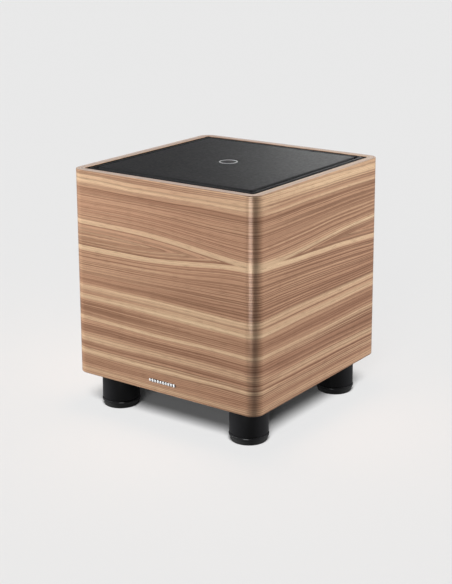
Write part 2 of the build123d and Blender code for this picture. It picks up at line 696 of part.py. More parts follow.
def rocker_housing():
    y1 = REAR_Y + 2.0
    case = panel(ROCKER_WIDTH + 5.4, ROCKER_HEIGHT + 5.4, 1, REAR_Y - 14, REAR_Y, INLET_X, ROCKER_Z)
    bezel = panel(ROCKER_WIDTH + 8, ROCKER_HEIGHT + 8, 2, REAR_Y, y1, INLET_X, ROCKER_Z)
    case += fillet(bezel.edges().group_by(Axis.Y)[-1], 0.7)
    case -= block(INLET_X - ROCKER_WIDTH / 2 - 0.3, INLET_X + ROCKER_WIDTH / 2 + 0.3,
                  REAR_Y - 10, y1 + 1, ROCKER_Z - ROCKER_HEIGHT / 2 - 0.9, ROCKER_Z + ROCKER_HEIGHT / 2 + 0.9)
    for side in (-1, 1):
        hub = Pos(INLET_X + side * (ROCKER_WIDTH / 2 + 1), REAR_Y - 3, ROCKER_Z)
        case -= hub * Rot(0, 90, 0) * Cylinder(1.55, 2.6)
    return case


def power_rocker():
    """Rocker in its off position; it swings about a pin across its middle."""
    half = ROCKER_HEIGHT / 2
    low = -half * 0.62
    outline = [(low, -4), (-half, 4.2), (0, 3.0), (half, 4.2), (-low, -4)]
    side = [(y, z) for z, y in outline]
    face = make_face(Polyline(*side, close=True))
    body = extrude(Plane.YZ * face, ROCKER_WIDTH / 2, both=True)
    pin = Rot(0, 90, 0) * Cylinder(1.5, ROCKER_WIDTH + 2.4)
    return Pos(INLET_X, REAR_Y - 3, ROCKER_Z) * Rot(ROCKER_TILT, 0, 0) * (body + pin)


def transformer():
    axis = Pos(TRANSFORMER_X, PLATE_IN_Y - 1.5 - 17, TRANSFORMER_Z) * Rot(90, 0, 0)
    body = Cylinder(40, 34)
    body = fillet(body.edges(), 8)
    return axis * (body - Cylinder(13, 40))


def transformer_mount():
    """Centre bolt with its washer and nut, which clamps the toroidal transformer to the plate."""
    washer = rod(24, PLATE_IN_Y - 38.5, PLATE_IN_Y - 36.5, TRANSFORMER_X, TRANSFORMER_Z)
    bolt = rod(2.5, PLATE_IN_Y - 44, REAR_Y + 0.4, TRANSFORMER_X, TRANSFORMER_Z)
    nut = Pos(TRANSFORMER_X, PLATE_IN_Y - 38.5, TRANSFORMER_Z) * Rot(90, 0, 0)
    head = rod(4.8, REAR_Y, REAR_Y + 2.6, TRANSFORMER_X, TRANSFORMER_Z)
    head = fillet(head.edges().group_by(Axis.Y)[-1], 1.2)
    return washer + bolt + nut * extrude(RegularPolygon(4.6, 6), 4) + head


def circuit_board():
    board = block(-BOARD_HALF, BOARD_HALF, BOARD_Y, BOARD_Y + 1.6, BOARD_LOW_Z, BOARD_HIGH_Z)
    for x, z in STANDOFFS:
        board -= rod(1.6, BOARD_Y - 1, BOARD_Y + 3, x, z)
    return board


def standoffs():
    return [rod(3.2, BOARD_Y + 1.6, PLATE_IN_Y, x, z) - rod(1.55, BOARD_Y, PLATE_IN_Y + 1, x, z)
            for x, z in STANDOFFS]


def board_screws():
    """Screws through the plate and through the board into the standoffs."""
    screws = []
    for x, z in STANDOFFS:
        outer = rod(2.9, REAR_Y, REAR_Y + 1.4, x, z) + rod(1.5, PLATE_IN_Y - 7, REAR_Y + 0.5, x, z)
        outer = fillet(outer.edges().group_by(Axis.Y)[-1], 0.8)
        inner = rod(2.9, BOARD_Y - 1.6, BOARD_Y, x, z) + rod(1.5, BOARD_Y - 1, BOARD_Y + 8, x, z)
        screws += [outer, inner]
    return screws


def capacitors():
    cans = []
    for x in (-52.0, -18.0):
        can = rod(14, BOARD_Y - 38, BOARD_Y, x, 262.0)
        cans.append(fillet(can.edges().group_by(Axis.Y)[0], 1.5))
    return cans


def output_coils():
    return [rod(11, BOARD_Y - 13, BOARD_Y, x, 262.0) - rod(4.5, BOARD_Y - 14, BOARD_Y + 1, x, 262.0)
            for x in (18.0, 46.0)]


HEATSINK_FINS = 8


def heatsink():
    """Finned block on the plate's inner face that carries the output devices' heat."""
    base = block(-32, 32, PLATE_IN_Y - 4, PLATE_IN_Y, 212, 268)
    pitch = 60.0 / (HEATSINK_FINS - 1)
    for i in range(HEATSINK_FINS):
        x = -30 + i * pitch
        base += block(x - 1, x + 1, PLATE_IN_Y - 17, PLATE_IN_Y - 3, 212, 268)
    return base


def status_led():
    lens = rod(2.5, PLATE_IN_Y - 4, REAR_Y + 0.6, LED_X, LED_Z)
    return lens + Pos(LED_X, REAR_Y + 0.6, LED_Z) * Sphere(2.5)


def speaker_wires():
    """Pair from the output stage on the circuit board down to the woofer's terminals."""
    y = frame_radius(TERMINAL_Z) + 7.15
    wires = []
    for side, x in ((-1, 12.0), (1, 20.0)):
        points = [(side * LEAD_X, y, TERMINAL_Z + 3), (side * LEAD_X, y + 12, TERMINAL_Z + 4),
                  (x, y + 18, TERMINAL_Z + 34), (x, y + 18, BOARD_LOW_Z + 8), (x, BOARD_Y, BOARD_LOW_Z + 8)]
        wires.append(wire(points, [5, 14, 6], 1.3))
    return wires


# ---- write the nodes ----
os.makedirs("parts", exist_ok=True)

woofer_bolts = woofer_screws()
plate_bolts = amp_screws()
core = minus(cabinet_core(), *plate_bolts)
save("cabinet_core", core)
save("walnut_veneer", walnut_veneer())
save("base_board", minus(base_board(), *woofer_bolts))
save("top_board", block(-INNER_X, INNER_X, -INNER_Y, INNER_Y, RECESS_Z - BOARD, RECESS_Z))
save("brace", brace())
save("foot_blocks", *[foot_block(x, y) for x, y in FEET])
save("wadding", *wadding())
save("top_border", top_border())
save("top_backing", pad_backing())
save("top_leather", top_pad())
save("emblem_ring", emblem_ring())
save("front_badge", front_badge())

for name, shape in foot_pieces().items():
    save(name, *at_feet(shape))

frame = woofer_frame()
cone_body = cone()
block_body = minus(terminal_block(), frame)
save("woofer_frame", frame)
gasket_hole = SURROUND_RADIUS + 1.5
gasket = ring(FLANGE_RADIUS, gasket_hole, BASE_Z + FLANGE_THICKNESS, BASE_Z + FLANGE_THICKNESS + GASKET)
save("woofer_gasket", minus(gasket, *woofer_bolts))
save("woofer_screws", *woofer_bolts)
save("woofer_trim_ring", ring(SURROUND_RADIUS + 0.4, CONE_EDGE_RADIUS + 2 * ROLL_RADIUS + 0.6,
                              BASE_Z, SURROUND_Z))
save("woofer_surround", surround())
save("woofer_cone", cone_body)
save("woofer_dust_cap", dust_cap() - cone_body)
save("coil_former", ring(FORMER_OUTER, COIL_FORMER_RADIUS, NECK_Z - 3, COIL_HIGH_Z + 1))
save("voice_coil", ring(COIL_RADIUS, FORMER_OUTER, COIL_LOW_Z, COIL_HIGH_Z))
save("woofer_spider", spider())
save("magnet_top_plate", ring(MAGNET_RADIUS - 2, GAP_RADIUS, FRAME_BACK_Z, TOP_PLATE_Z))
half_magnet = (MAGNET_Z - TOP_PLATE_Z) / 2
save("magnet_rings", ring(MAGNET_RADIUS, 36, TOP_PLATE_Z, TOP_PLATE_Z + half_magnet),
     ring(MAGNET_RADIUS, 36, TOP_PLATE_Z + half_magnet, MAGNET_Z))
yoke = post(MAGNET_RADIUS - 4, MAGNET_Z, YOKE_Z) + post(POLE_RADIUS, FRAME_BACK_Z - 2, YOKE_Z)
save("magnet_yoke", yoke - post(9, FRAME_BACK_Z - 5, YOKE_Z + 1))
save("woofer_terminals", block_body, *terminal_lugs())
save("tinsel_leads", *tinsel_leads())

save("amp_plate", amp_plate())
save("amp_gasket", amp_gasket())
save("amp_screws", *plate_bolts)
save("level_knob", knob(LEVEL_X))
save("level_shaft", pot_shaft(LEVEL_X))
save("crossover_knob", knob(CROSSOVER_X))
save("crossover_shaft", pot_shaft(CROSSOVER_X))
save("pot_bodies", *pots())
save("phase_button", slide_button(SWITCH_X - SWITCH_TRAVEL, PHASE_Z))
save("power_mode_button", slide_button(SWITCH_X, POWER_MODE_Z))
save("switch_cases", *switch_cases())
save("rca_shells", *rca_shells())
save("rca_insulators", rca_carrier(), *rca_cores())
save("status_led", status_led())
save("mains_inlet", mains_inlet())
save("inlet_pins", *inlet_pins())
save("fuse_drawer", fuse_drawer())
save("fuse", *fuse())
save("rocker_housing", rocker_housing())
save("power_rocker", power_rocker())
save("transformer", transformer())
save("transformer_mount", transformer_mount())
save("circuit_board", circuit_board())
save("board_standoffs", *standoffs())
save("panel_screws", *board_screws(), *inlet_screws())
save("filter_parts", *capacitors(), *output_coils())
save("heatsink", heatsink())
save("speaker_wires", *speaker_wires())
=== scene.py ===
"""Looks for a compact powered subwoofer: walnut cabinet, padded leather top, round black feet."""

import json
from functools import partialmethod
from math import asin, copysign, cos, degrees, exp, hypot, pi, radians, sin, sqrt

import bmesh
import bpy
from mathutils import Matrix, Vector, noise


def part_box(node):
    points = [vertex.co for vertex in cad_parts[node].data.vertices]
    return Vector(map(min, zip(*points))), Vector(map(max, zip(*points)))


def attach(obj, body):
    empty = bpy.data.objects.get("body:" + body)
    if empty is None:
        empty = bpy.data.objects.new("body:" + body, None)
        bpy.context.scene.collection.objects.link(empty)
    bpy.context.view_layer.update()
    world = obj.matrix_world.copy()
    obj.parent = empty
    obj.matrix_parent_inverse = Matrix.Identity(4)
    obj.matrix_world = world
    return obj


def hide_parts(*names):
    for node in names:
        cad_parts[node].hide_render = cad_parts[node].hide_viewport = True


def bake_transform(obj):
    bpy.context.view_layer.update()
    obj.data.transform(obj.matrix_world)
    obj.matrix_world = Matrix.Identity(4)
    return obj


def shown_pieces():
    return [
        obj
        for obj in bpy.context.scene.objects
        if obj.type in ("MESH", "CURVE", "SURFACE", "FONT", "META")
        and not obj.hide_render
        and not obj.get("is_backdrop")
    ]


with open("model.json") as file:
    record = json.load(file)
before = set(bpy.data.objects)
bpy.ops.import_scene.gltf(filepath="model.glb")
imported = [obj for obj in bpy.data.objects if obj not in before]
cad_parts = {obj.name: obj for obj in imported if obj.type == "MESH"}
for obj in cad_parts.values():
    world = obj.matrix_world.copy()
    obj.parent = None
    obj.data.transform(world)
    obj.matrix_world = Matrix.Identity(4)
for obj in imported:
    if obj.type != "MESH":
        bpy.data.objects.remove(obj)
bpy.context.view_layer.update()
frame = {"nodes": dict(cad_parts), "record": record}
nodes = frame["nodes"]

# ---- places, all in metres, read from the frame ----
MM = 0.001
cabinet_low, cabinet_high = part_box("walnut_veneer")
CENTRE_X = (cabinet_low.x + cabinet_high.x) / 2
CENTRE_Y = (cabinet_low.y + cabinet_high.y) / 2
WIDTH = cabinet_high.x - cabinet_low.x
DEPTH = cabinet_high.y - cabinet_low.y
BASE_Z = cabinet_low.z
RIM_Z = cabinet_high.z
HEIGHT = RIM_Z - BASE_Z
REAR_Y = cabinet_high.y
CORNER = 17.5 * MM          # radius of the cabinet's vertical corners
RIM = 12.5 * MM             # width of the wood rim round the top
VENEER = 0.8 * MM
RECESS_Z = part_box("top_board")[1].z
plate_low, plate_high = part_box("amp_plate")


# ---- shader building ----
class Shader:
    """The node tree of a material or world, with one short call for each kind of node."""

    SOCKETS = {"colour": "Base Color", "roughness": "Roughness", "metallic": "Metallic", "normal": "Normal",
               "coat": "Coat Weight", "coat_roughness": "Coat Roughness", "specular": "Specular IOR Level",
               "transmission": "Transmission Weight"}

    def __init__(self, owner=None):
        self.owner = owner or bpy.data.materials.new("finish")
        self.owner.use_nodes = True
        self.tree = self.owner.node_tree
        self.nodes = self.tree.nodes

    def put(self, socket, value):
        """Links a socket to another, or sets it to a number, a vector or a colour."""
        if isinstance(value, bpy.types.NodeSocket):
            self.tree.links.new(value, socket)
        elif socket.type == "RGBA" and len(value) == 3:
            socket.default_value = (*value, 1.0)
        else:
            socket.default_value = value

    def node(self, kind, inputs=None, **settings):
        made = self.nodes.new("ShaderNode" + kind)
        for key, value in settings.items():
            setattr(made, key, value)
        for key, value in (inputs or {}).items():
            self.put(made.inputs[key], value)
        return made

    def math(self, operation, a, b=0.0):
        return self.node("Math", {0: a, 1: b}, operation=operation).outputs[0]

    times = partialmethod(math, "MULTIPLY")
    minus = partialmethod(math, "SUBTRACT")
    ratio = partialmethod(math, "DIVIDE")
    most = partialmethod(math, "MAXIMUM")
    over = partialmethod(math, "GREATER_THAN")
    under = partialmethod(math, "LESS_THAN")
    size = partialmethod(math, "ABSOLUTE")
    sine = partialmethod(math, "SINE")

    def add(self, *terms):
        total = terms[0]
        for term in terms[1:]:
            total = self.math("ADD", total, term)
        return total

    def length(self, a, b):
        return self.math("SQRT", self.add(self.times(a, a), self.times(b, b)))

    def around_half(self, value, strength):
        """A noise value spread evenly about zero."""
        return self.times(self.minus(value, 0.5), strength)

    def place(self):
        """Position in the frame, in metres."""
        return self.node("TexCoord").outputs["Object"]

    def split(self, vector):
        return self.node("SeparateXYZ", {0: vector}).outputs

    def join(self, x, y, z):
        return self.node("CombineXYZ", {0: x, 1: y, 2: z}).outputs[0]

    def stretched(self, vector, scale, offset=(0, 0, 0)):
        return self.node("Mapping", {"Vector": vector, "Scale": scale, "Location": offset}).outputs[0]

    def noise(self, vector, scale, detail=2.0, roughness=0.5, distortion=0.0, offset=(0, 0, 0)):
        """Noise with one scale, or with a scale along each axis."""
        if isinstance(scale, tuple):
            vector, scale = self.stretched(vector, scale, offset), 1.0
        inputs = {"Vector": vector, "Scale": scale, "Detail": detail, "Roughness": roughness,
                  "Distortion": distortion}
        return self.node("TexNoise", inputs).outputs["Fac"]

    def cells(self, vector, scale, feature):
        node = self.node("TexVoronoi", {"Vector": vector, "Scale": scale}, feature=feature)
        return node.outputs["Distance"]

    def spread(self, value, low, high, out_low=0.0, out_high=1.0, smooth=False):
        inputs = {"Value": value, "From Min": low, "From Max": high, "To Min": out_low, "To Max": out_high}
        kind = "SMOOTHSTEP" if smooth else "LINEAR"
        return self.node("MapRange", inputs, interpolation_type=kind, clamp=True).outputs[0]

    def ramp(self, value, stops, interpolation="LINEAR"):
        made = self.node("ValToRGB", {"Fac": value})
        made.color_ramp.interpolation = interpolation
        elements = made.color_ramp.elements
        while len(elements) < len(stops):
            elements.new(0.5)
        for element, (position, colour) in zip(elements, stops):
            element.position = position
            element.color = (*colour, 1.0)
        return made.outputs["Color"]

    def tones(self, value, stops):
        return self.ramp(value, [(position, (tone,) * 3) for position, tone in stops], "EASE")

    def mix(self, factor, a, b):
        return self.node("Mix", {"Factor": factor, 6: a, 7: b}, data_type="RGBA").outputs[2]

    def vary(self, value, a, b):
        """Goes from one number or colour to another with a noise value."""
        if isinstance(a, tuple):
            return self.mix(self.spread(value, 0.3, 0.7), a, b)
        return self.spread(value, 0.3, 0.7, a, b)

    def bump(self, height, strength, depth):
        """Relief, its depth in millimetres."""
        return self.node("Bump", {"Height": height, "Strength": strength, "Distance": depth * MM}).outputs[0]

    def finish(self, **sockets):
        for key, value in sockets.items():
            self.put(self.nodes["Principled BSDF"].inputs[self.SOCKETS[key]], value)
        return self.owner


def srgb(red, green, blue):
    """A colour given as 0 to 255 display values."""
    return tuple(((c / 255 + 0.055) / 1.055) ** 2.4 for c in (red, green, blue))


def toned(colour, factor):
    """The same colour, darker or lighter."""
    return tuple(min(1.0, c * factor) for c in colour)


# ---- walnut ----
# The veneer's figure: two pale bands that meet at the front right corner and open to both sides.
FIGURE_Z = 207.5 * MM       # its middle above the cabinet's lower edge, at the corner
FIGURE_SLOPE = 0.0117       # how fast the figure falls towards the right
PINCH = 3.7 * MM            # half the distance between the figure's two pale bands where they meet
FIGURE_REACH = 75 * MM      # how far above and below the figure bends the grain
WIDEST = 15.5 * MM          # how much further apart the bands get away from the corner
OPENS_OVER = 130 * MM       # distance in which they get there on the left face; twice that on the right
# Bands of the sheet from the lower edge up: height in millimetres, and tone from dark (0) to pale (1).
LEFT_BANDS = ((0, 0.50), (6, 0.66), (12, 0.34), (21, 0.30), (28, 0.48), (33, 0.78), (37, 0.60), (43, 0.24),
              (52, 0.70), (57, 0.66), (66, 0.26), (74, 0.36), (82, 0.72), (90, 0.30), (98, 0.22),
              (107, 0.34), (114, 0.84), (121, 0.56), (130, 0.80), (135, 0.42), (141, 0.22), (160, 0.42),
              (186, 0.40), (199, 0.42), (202.5, 0.85), (212.5, 0.86), (217, 0.44), (240, 0.36), (266, 0.40),
              (274, 0.24), (285, 0.72), (305, 0.56))
RIGHT_BANDS = ((0, 0.46), (10, 0.62), (18, 0.36), (28, 0.60), (35, 0.40), (45, 0.74), (52, 0.46), (60, 0.18),
               (70, 0.22), (75, 0.46), (82, 0.70), (89, 0.40), (95, 0.14), (104, 0.20), (110, 0.44),
               (116, 0.80), (123, 0.50), (131, 0.78), (138, 0.36), (150, 0.26), (165, 0.36), (199, 0.38),
               (202.5, 0.84), (212.5, 0.66), (217, 0.42), (235, 0.36), (262, 0.38), (271, 0.20), (279, 0.58),
               (287, 0.44), (298, 0.74), (305, 0.60))
# Inside the figure, from the pale band inwards: share of 20 mm, and tone.
INNER_ARCS = ((0.0, 0.84), (0.15, 0.78), (0.20, 0.28), (0.27, 0.52), (0.40, 0.38), (0.52, 0.56), (0.62, 0.30),
              (0.80, 0.50), (1.0, 0.36))
WOOD_DARK, WOOD_MID, WOOD_PALE = srgb(130, 90, 66), srgb(190, 148, 118), srgb(228, 197, 160)
WOOD_BLUSH, WOOD_LATE, WOOD_PORE = srgb(188, 134, 110), srgb(118, 82, 60), srgb(96, 62, 40)
LEATHER = (0.0135, 0.0135, 0.0145)
RAW_BOARD = (0.42, 0.27, 0.14)
BLACK_PAINT = (0.012, 0.012, 0.013)
KNOBS = ("level_knob", "crossover_knob")


def walnut():
    """Walnut veneer under satin lacquer, one sheet wrapped round the corners."""
    s = Shader()
    grain = s.node("UVMap", uv_map="grain").outputs["UV"]
    along, height, _ = s.split(grain)
    height_here = s.add(height, s.around_half(s.noise(grain, (3.5, 14.0, 1.0)), 0.010))
    # half the gap between the two pale bands: closed at the corner, and opening faster on the left
    share = s.ratio(along, s.add(OPENS_OVER, s.times(s.over(along, 0.0), OPENS_OVER)))
    closed = s.math("EXPONENT", s.times(s.times(share, share), -1.0))
    opening = s.times(s.minus(1.0, closed), WIDEST)
    middle = s.minus(FIGURE_Z, s.times(along, FIGURE_SLOPE))
    off = s.minus(height_here, middle)
    distance = s.length(off, 1.2 * MM)
    inward = s.minus(s.add(opening, PINCH), distance)
    inner = s.most(inward, 0.0)
    fade = s.spread(distance, 20 * MM, FIGURE_REACH, 1.0, 0.0, smooth=True)
    beyond = s.most(s.minus(distance, s.times(opening, fade)), PINCH)
    outer = s.times(beyond, s.math("SIGN", off))
    # broad bands
    level = s.ratio(s.add(FIGURE_Z, outer), HEIGHT)
    left, right = (s.tones(level, [(z * MM / HEIGHT, tone) for z, tone in bands])
                   for bands in (LEFT_BANDS, RIGHT_BANDS))
    band = s.mix(s.spread(along, -20 * MM, 60 * MM), left, right)
    arcs = s.tones(s.ratio(inner, 20 * MM), INNER_ARCS)
    band = s.mix(s.spread(inward, -0.5 * MM, 0.5 * MM), band, arcs)
    # growth lines that follow the same rings, each a few tenths to a few millimetres wide
    rings = s.join(along, outer, inner)
    streaks = s.noise(rings, (1.6, 260.0, 260.0), 3.0, 0.55)
    lines = s.noise(rings, (3.0, 640.0, 640.0), 3.0, 0.6, offset=(3, 7, 1))
    patch = s.noise(grain, (5.0, 26.0, 1.0), 3.0, offset=(0, 4, 0))
    tone = s.add(band, s.around_half(streaks, 0.5), s.around_half(lines, 0.9), s.around_half(patch, 0.3))
    colour = s.ramp(tone, [(0.0, WOOD_DARK), (0.40, WOOD_MID), (0.92, WOOD_PALE)])
    blush = s.noise(grain, (2.0, 12.0, 1.0), 1.0, offset=(5, 0, 0))
    colour = s.mix(s.spread(blush, 0.38, 0.66, 0.0, 0.18), colour, WOOD_BLUSH)
    # latewood: long thin dark lines about three millimetres apart, stronger in some bands than in others
    latewood = s.spread(s.noise(rings, (0.8, 400.0, 400.0), 1.0, 0.4, offset=(1, 2, 9)), 0.47, 0.56)
    strength = s.spread(s.noise(grain, (1.5, 16.0, 1.0), offset=(8, 1, 0)), 0.35, 0.60, 0.45, 1.0)
    quiet = s.spread(band, 0.55, 0.85, 1.0, 0.2)
    colour = s.mix(s.times(s.times(latewood, s.times(strength, quiet)), 0.75), colour, WOOD_LATE)
    # open pores: thin dark dashes along the grain
    pores = s.spread(s.noise(rings, (50.0, 2600.0, 2600.0), 1.0, 0.4), 0.58, 0.68)
    colour = s.mix(s.times(pores, 0.45), colour, WOOD_PORE)
    relief = s.minus(s.times(lines, 0.3), pores)
    return s.finish(colour=colour, roughness=s.vary(lines, 0.42, 0.34), normal=s.bump(relief, 0.10, 0.2),
                    metallic=0.42, coat=0.65, coat_roughness=0.12)


# ---- shared finishes ----
def speckled(colour, roughness, grain=900.0, metallic=0.0, strength=0.2, depth=0.05, **extra):
    """A paint, moulding or casting with a fine texture and a slight change of tone."""
    s = Shader()
    fine, broad = s.noise(s.place(), grain, 3.0, 0.6), s.noise(s.place(), 18.0)
    light = tuple(min(1.0, c * 1.12 + 0.002) for c in colour)
    rough = s.spread(fine, 0.25, 0.75, max(0.02, roughness - 0.06), min(1.0, roughness + 0.06))
    return s.finish(colour=s.vary(broad, toned(colour, 0.88), light), roughness=rough, metallic=metallic,
                    normal=s.bump(fine, strength, depth), **extra)


def scales(along, lengthwise, across):
    """Noise scales for marks that run along one axis."""
    return tuple(lengthwise if axis == along else across for axis in "xyz")


def brushed(colour, roughness, along="z"):
    """Metal with brush or turning marks along one axis."""
    s = Shader()
    marks = s.noise(s.place(), scales(along, 25.0, 1400.0), 3.0, 0.6)
    return s.finish(colour=s.vary(marks, toned(colour, 0.82), colour), normal=s.bump(marks, 0.08, 0.03),
                    roughness=s.vary(marks, roughness - 0.05, roughness + 0.08), metallic=1.0)


def leather(colour):
    """Fine pebbled leather with faint uneven dye."""
    s = Shader()
    place = s.place()
    pebbles = s.cells(place, 1000.0, "SMOOTH_F1")
    creases = s.noise(place, 240.0, 4.0, 0.6)
    tone = s.vary(s.noise(place, 16.0, 4.0, 0.6), toned(colour, 0.82), toned(colour, 1.2))
    tone = s.mix(s.spread(pebbles, 0.25, 0.6, 0.0, 0.3), tone, toned(colour, 0.5))
    return s.finish(colour=tone, roughness=s.vary(creases, 0.50, 0.62), specular=0.36,
                    normal=s.bump(s.minus(s.times(creases, 0.8), pebbles), 0.30, 0.2))


def fibres(colour, roughness, scale, contrast=0.3, strength=0.4):
    """Pressed or felted fibres, such as pulp or wadding."""
    s = Shader()
    long_fibres = s.noise(s.place(), (scale,) * 3, 4.0, 0.7, 1.5)
    flecks = s.spread(s.noise(s.place(), 1400.0), 0.62, 0.72, 0.0, 0.5)
    tone = s.vary(long_fibres, toned(colour, 1 - contrast), toned(colour, 1 + contrast))
    return s.finish(colour=s.mix(flecks, tone, toned(colour, 0.5)), normal=s.bump(long_fibres, strength, 0.2),
                    roughness=s.vary(long_fibres, roughness - 0.08, min(1.0, roughness + 0.08)))


def board(painted_all_over=False):
    """Fibreboard painted black, all over or only in the top's recess and on the cabinet's underside."""
    s = Shader()
    place = s.place()
    fibre = s.noise(place, (220.0, 220.0, 500.0), 4.0, 0.7, 1.0)
    roller = s.noise(place, 700.0, 3.0, 0.6)
    colour = s.vary(roller, toned(BLACK_PAINT, 0.7), toned(BLACK_PAINT, 1.4))
    if not painted_all_over:
        z = s.split(place)[2]
        on_show = s.most(s.over(z, RECESS_Z - 0.4 * MM), s.under(z, BASE_Z + 0.4 * MM))
        colour = s.mix(on_show, s.vary(fibre, toned(RAW_BOARD, 0.75), RAW_BOARD), colour)
    return s.finish(colour=colour, roughness=s.vary(roller, 0.7, 0.85), specular=0.12,
                    normal=s.bump(s.add(fibre, roller), 0.25, 0.1))


def cloth(colour, threads=900.0):
    """Plain woven cloth, with so many threads to the metre."""
    s = Shader()
    x, y, z = s.split(s.place())
    warp, weft = (s.sine(s.times(s.add(across, z), threads * pi)) for across in (x, y))
    weave = s.times(warp, weft)
    slub = s.noise(s.place(), 160.0, 3.0, 0.6)
    tone = s.mix(s.spread(weave, -1.0, 1.0, 0.15, 0.85), toned(colour, 0.6), colour)
    tone = s.mix(s.spread(slub, 0.4, 0.7, 0.0, 0.4), tone, toned(colour, 0.75))
    return s.finish(colour=tone, roughness=s.vary(slub, 0.80, 0.95), normal=s.bump(weave, 0.5, 0.1))


def long_grain(pale, dark):
    """Plain hardwood with its grain upright."""
    s = Shader()
    rings = s.noise(s.place(), scales("z", 4.0, 90.0), 4.0, 0.6, 0.6)
    fleck = s.noise(s.place(), scales("z", 36.0, 810.0))
    tone = s.mix(s.spread(fleck, 0.6, 0.7, 0.0, 0.5), s.vary(rings, pale, dark), toned(dark, 0.6))
    return s.finish(colour=tone, roughness=s.vary(rings, 0.55, 0.7), normal=s.bump(fleck, 0.2, 0.1))


def pulp(colour):
    """Coated paper cone with faint rings pressed into it."""
    s = Shader()
    x, y, _ = s.split(s.place())
    ribs = s.sine(s.times(s.length(x, s.add(y, -CENTRE_Y)), 2 * pi / (11 * MM)))
    fibre = s.noise(s.place(), 420.0, 5.0, 0.75, 1.0)
    height = s.add(s.spread(ribs, 0.7, 1.0, 0.0, 0.5), fibre)
    return s.finish(colour=s.vary(fibre, toned(colour, 0.7), toned(colour, 1.4)),
                    roughness=s.vary(fibre, 0.5, 0.7), normal=s.bump(height, 0.5, 0.3))


def windings(colour, gloss, pitch):
    """Enamelled wire or tape laid in turns one above the other."""
    s = Shader()
    turns = s.sine(s.times(s.split(s.place())[2], 2 * pi / pitch))
    age = s.noise(s.place(), 60.0, 3.0)
    tone = s.mix(s.spread(turns, -1.0, 1.0), toned(colour, 0.55), colour)
    tone = s.mix(s.spread(age, 0.4, 0.7, 0.0, 0.4), tone, toned(colour, 0.7))
    return s.finish(colour=tone, roughness=s.vary(age, gloss, gloss + 0.15), metallic=0.5,
                    normal=s.bump(turns, 0.6, 0.2))


def centre_of(node):
    low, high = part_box(node)
    return (low + high) / 2


def either(s, masks):
    """Where at least one of the masks is."""
    joined = masks[0]
    for mask in masks[1:]:
        joined = s.most(joined, mask)
    return joined


def rear_plate():
    """Black anodised sheet with brush marks, a printed scale round each knob and a frame round the jacks."""
    s = Shader()
    x, _, z = s.split(s.place())
    marks = s.noise(s.place(), scales("x", 30.0, 1400.0), 3.0, 0.6)
    printed = []
    for knob in KNOBS:
        centre = centre_of(knob)
        dx, dz = s.minus(x, centre.x), s.minus(z, centre.z)
        radius, angle = s.length(dx, dz), s.math("ARCTAN2", dx, dz)
        # eleven ticks over three hundred degrees, open at the bottom
        step = radians(30)
        near = s.size(s.minus(s.math("FRACT", s.add(s.ratio(angle, step), 0.5)), 0.5))
        tick = s.under(s.times(near, s.times(radius, step)), 0.35 * MM)
        span = s.under(s.size(angle), radians(152))
        band = s.times(s.over(radius, 11.0 * MM), s.under(radius, 13.6 * MM))
        printed.append(s.times(s.times(tick, span), band))
    low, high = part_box("rca_shells")
    margin = 7 * MM
    sides = (s.minus(s.size(s.minus(across, (a + b) / 2)), (b - a) / 2 + margin)
             for across, a, b in ((x, low.x, high.x), (z, low.z, high.z)))
    printed.append(s.under(s.size(s.most(*sides)), 0.25 * MM))
    worn = s.spread(s.noise(s.place(), 900.0), 0.25, 0.4, 0.7, 1.0)
    sheet = s.vary(marks, (0.012, 0.012, 0.013), (0.024, 0.024, 0.026))
    return s.finish(colour=s.mix(s.times(either(s, printed), worn), sheet, (0.62, 0.62, 0.60)), metallic=0.6,
                    roughness=s.vary(marks, 0.36, 0.48), normal=s.bump(marks, 0.08, 0.03))


def knob_plastic():
    """Matt black, with white paint in the pointer's groove."""
    s = Shader()
    x, y, z = s.split(s.place())
    fine = s.noise(s.place(), 1400.0)
    pointers = []
    for knob in KNOBS:
        centre = centre_of(knob)
        narrow = s.under(s.size(s.minus(x, centre.x)), 0.62 * MM)
        pointers.append(s.times(narrow, s.over(s.minus(z, centre.z), 2.4 * MM)))
    face_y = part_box(KNOBS[0])[1].y
    in_groove = s.times(s.under(y, face_y - 0.05 * MM), s.over(y, face_y - 0.7 * MM))
    black = s.vary(fine, (0.016, 0.016, 0.017), (0.024, 0.024, 0.025))
    return s.finish(colour=s.mix(s.times(either(s, pointers), in_groove), black, (0.75, 0.75, 0.73)),
                    roughness=s.vary(fine, 0.36, 0.46), normal=s.bump(fine, 0.1, 0.03))


def phono_insulator():
    """White in the left channel's jacks, red in the right's, black behind the plate."""
    s = Shader()
    _, y, z = s.split(s.place())
    fine = s.noise(s.place(), 900.0)
    white = s.vary(fine, (0.62, 0.62, 0.60), (0.74, 0.74, 0.72))
    red = s.vary(fine, (0.42, 0.02, 0.02), (0.55, 0.03, 0.03))
    face = s.mix(s.over(z, centre_of("rca_shells").z), red, white)
    colour = s.mix(s.under(y, REAR_Y - 4.2 * MM), face, (0.02, 0.02, 0.02))
    return s.finish(colour=colour, roughness=s.vary(fine, 0.35, 0.45), normal=s.bump(fine, 0.1, 0.03))


def circuit():
    """Green solder mask over paler tracks."""
    s = Shader()
    cells = s.cells(s.stretched(s.place(), (260.0, 1.0, 420.0)), 1.0, "DISTANCE_TO_EDGE")
    tracks = s.spread(cells, 0.04, 0.07)
    return s.finish(colour=s.mix(tracks, (0.05, 0.26, 0.12), (0.02, 0.11, 0.05)), coat=0.5,
                    roughness=s.spread(cells, 0.0, 0.5, 0.25, 0.4), normal=s.bump(tracks, 0.3, 0.05),
                    coat_roughness=0.2)


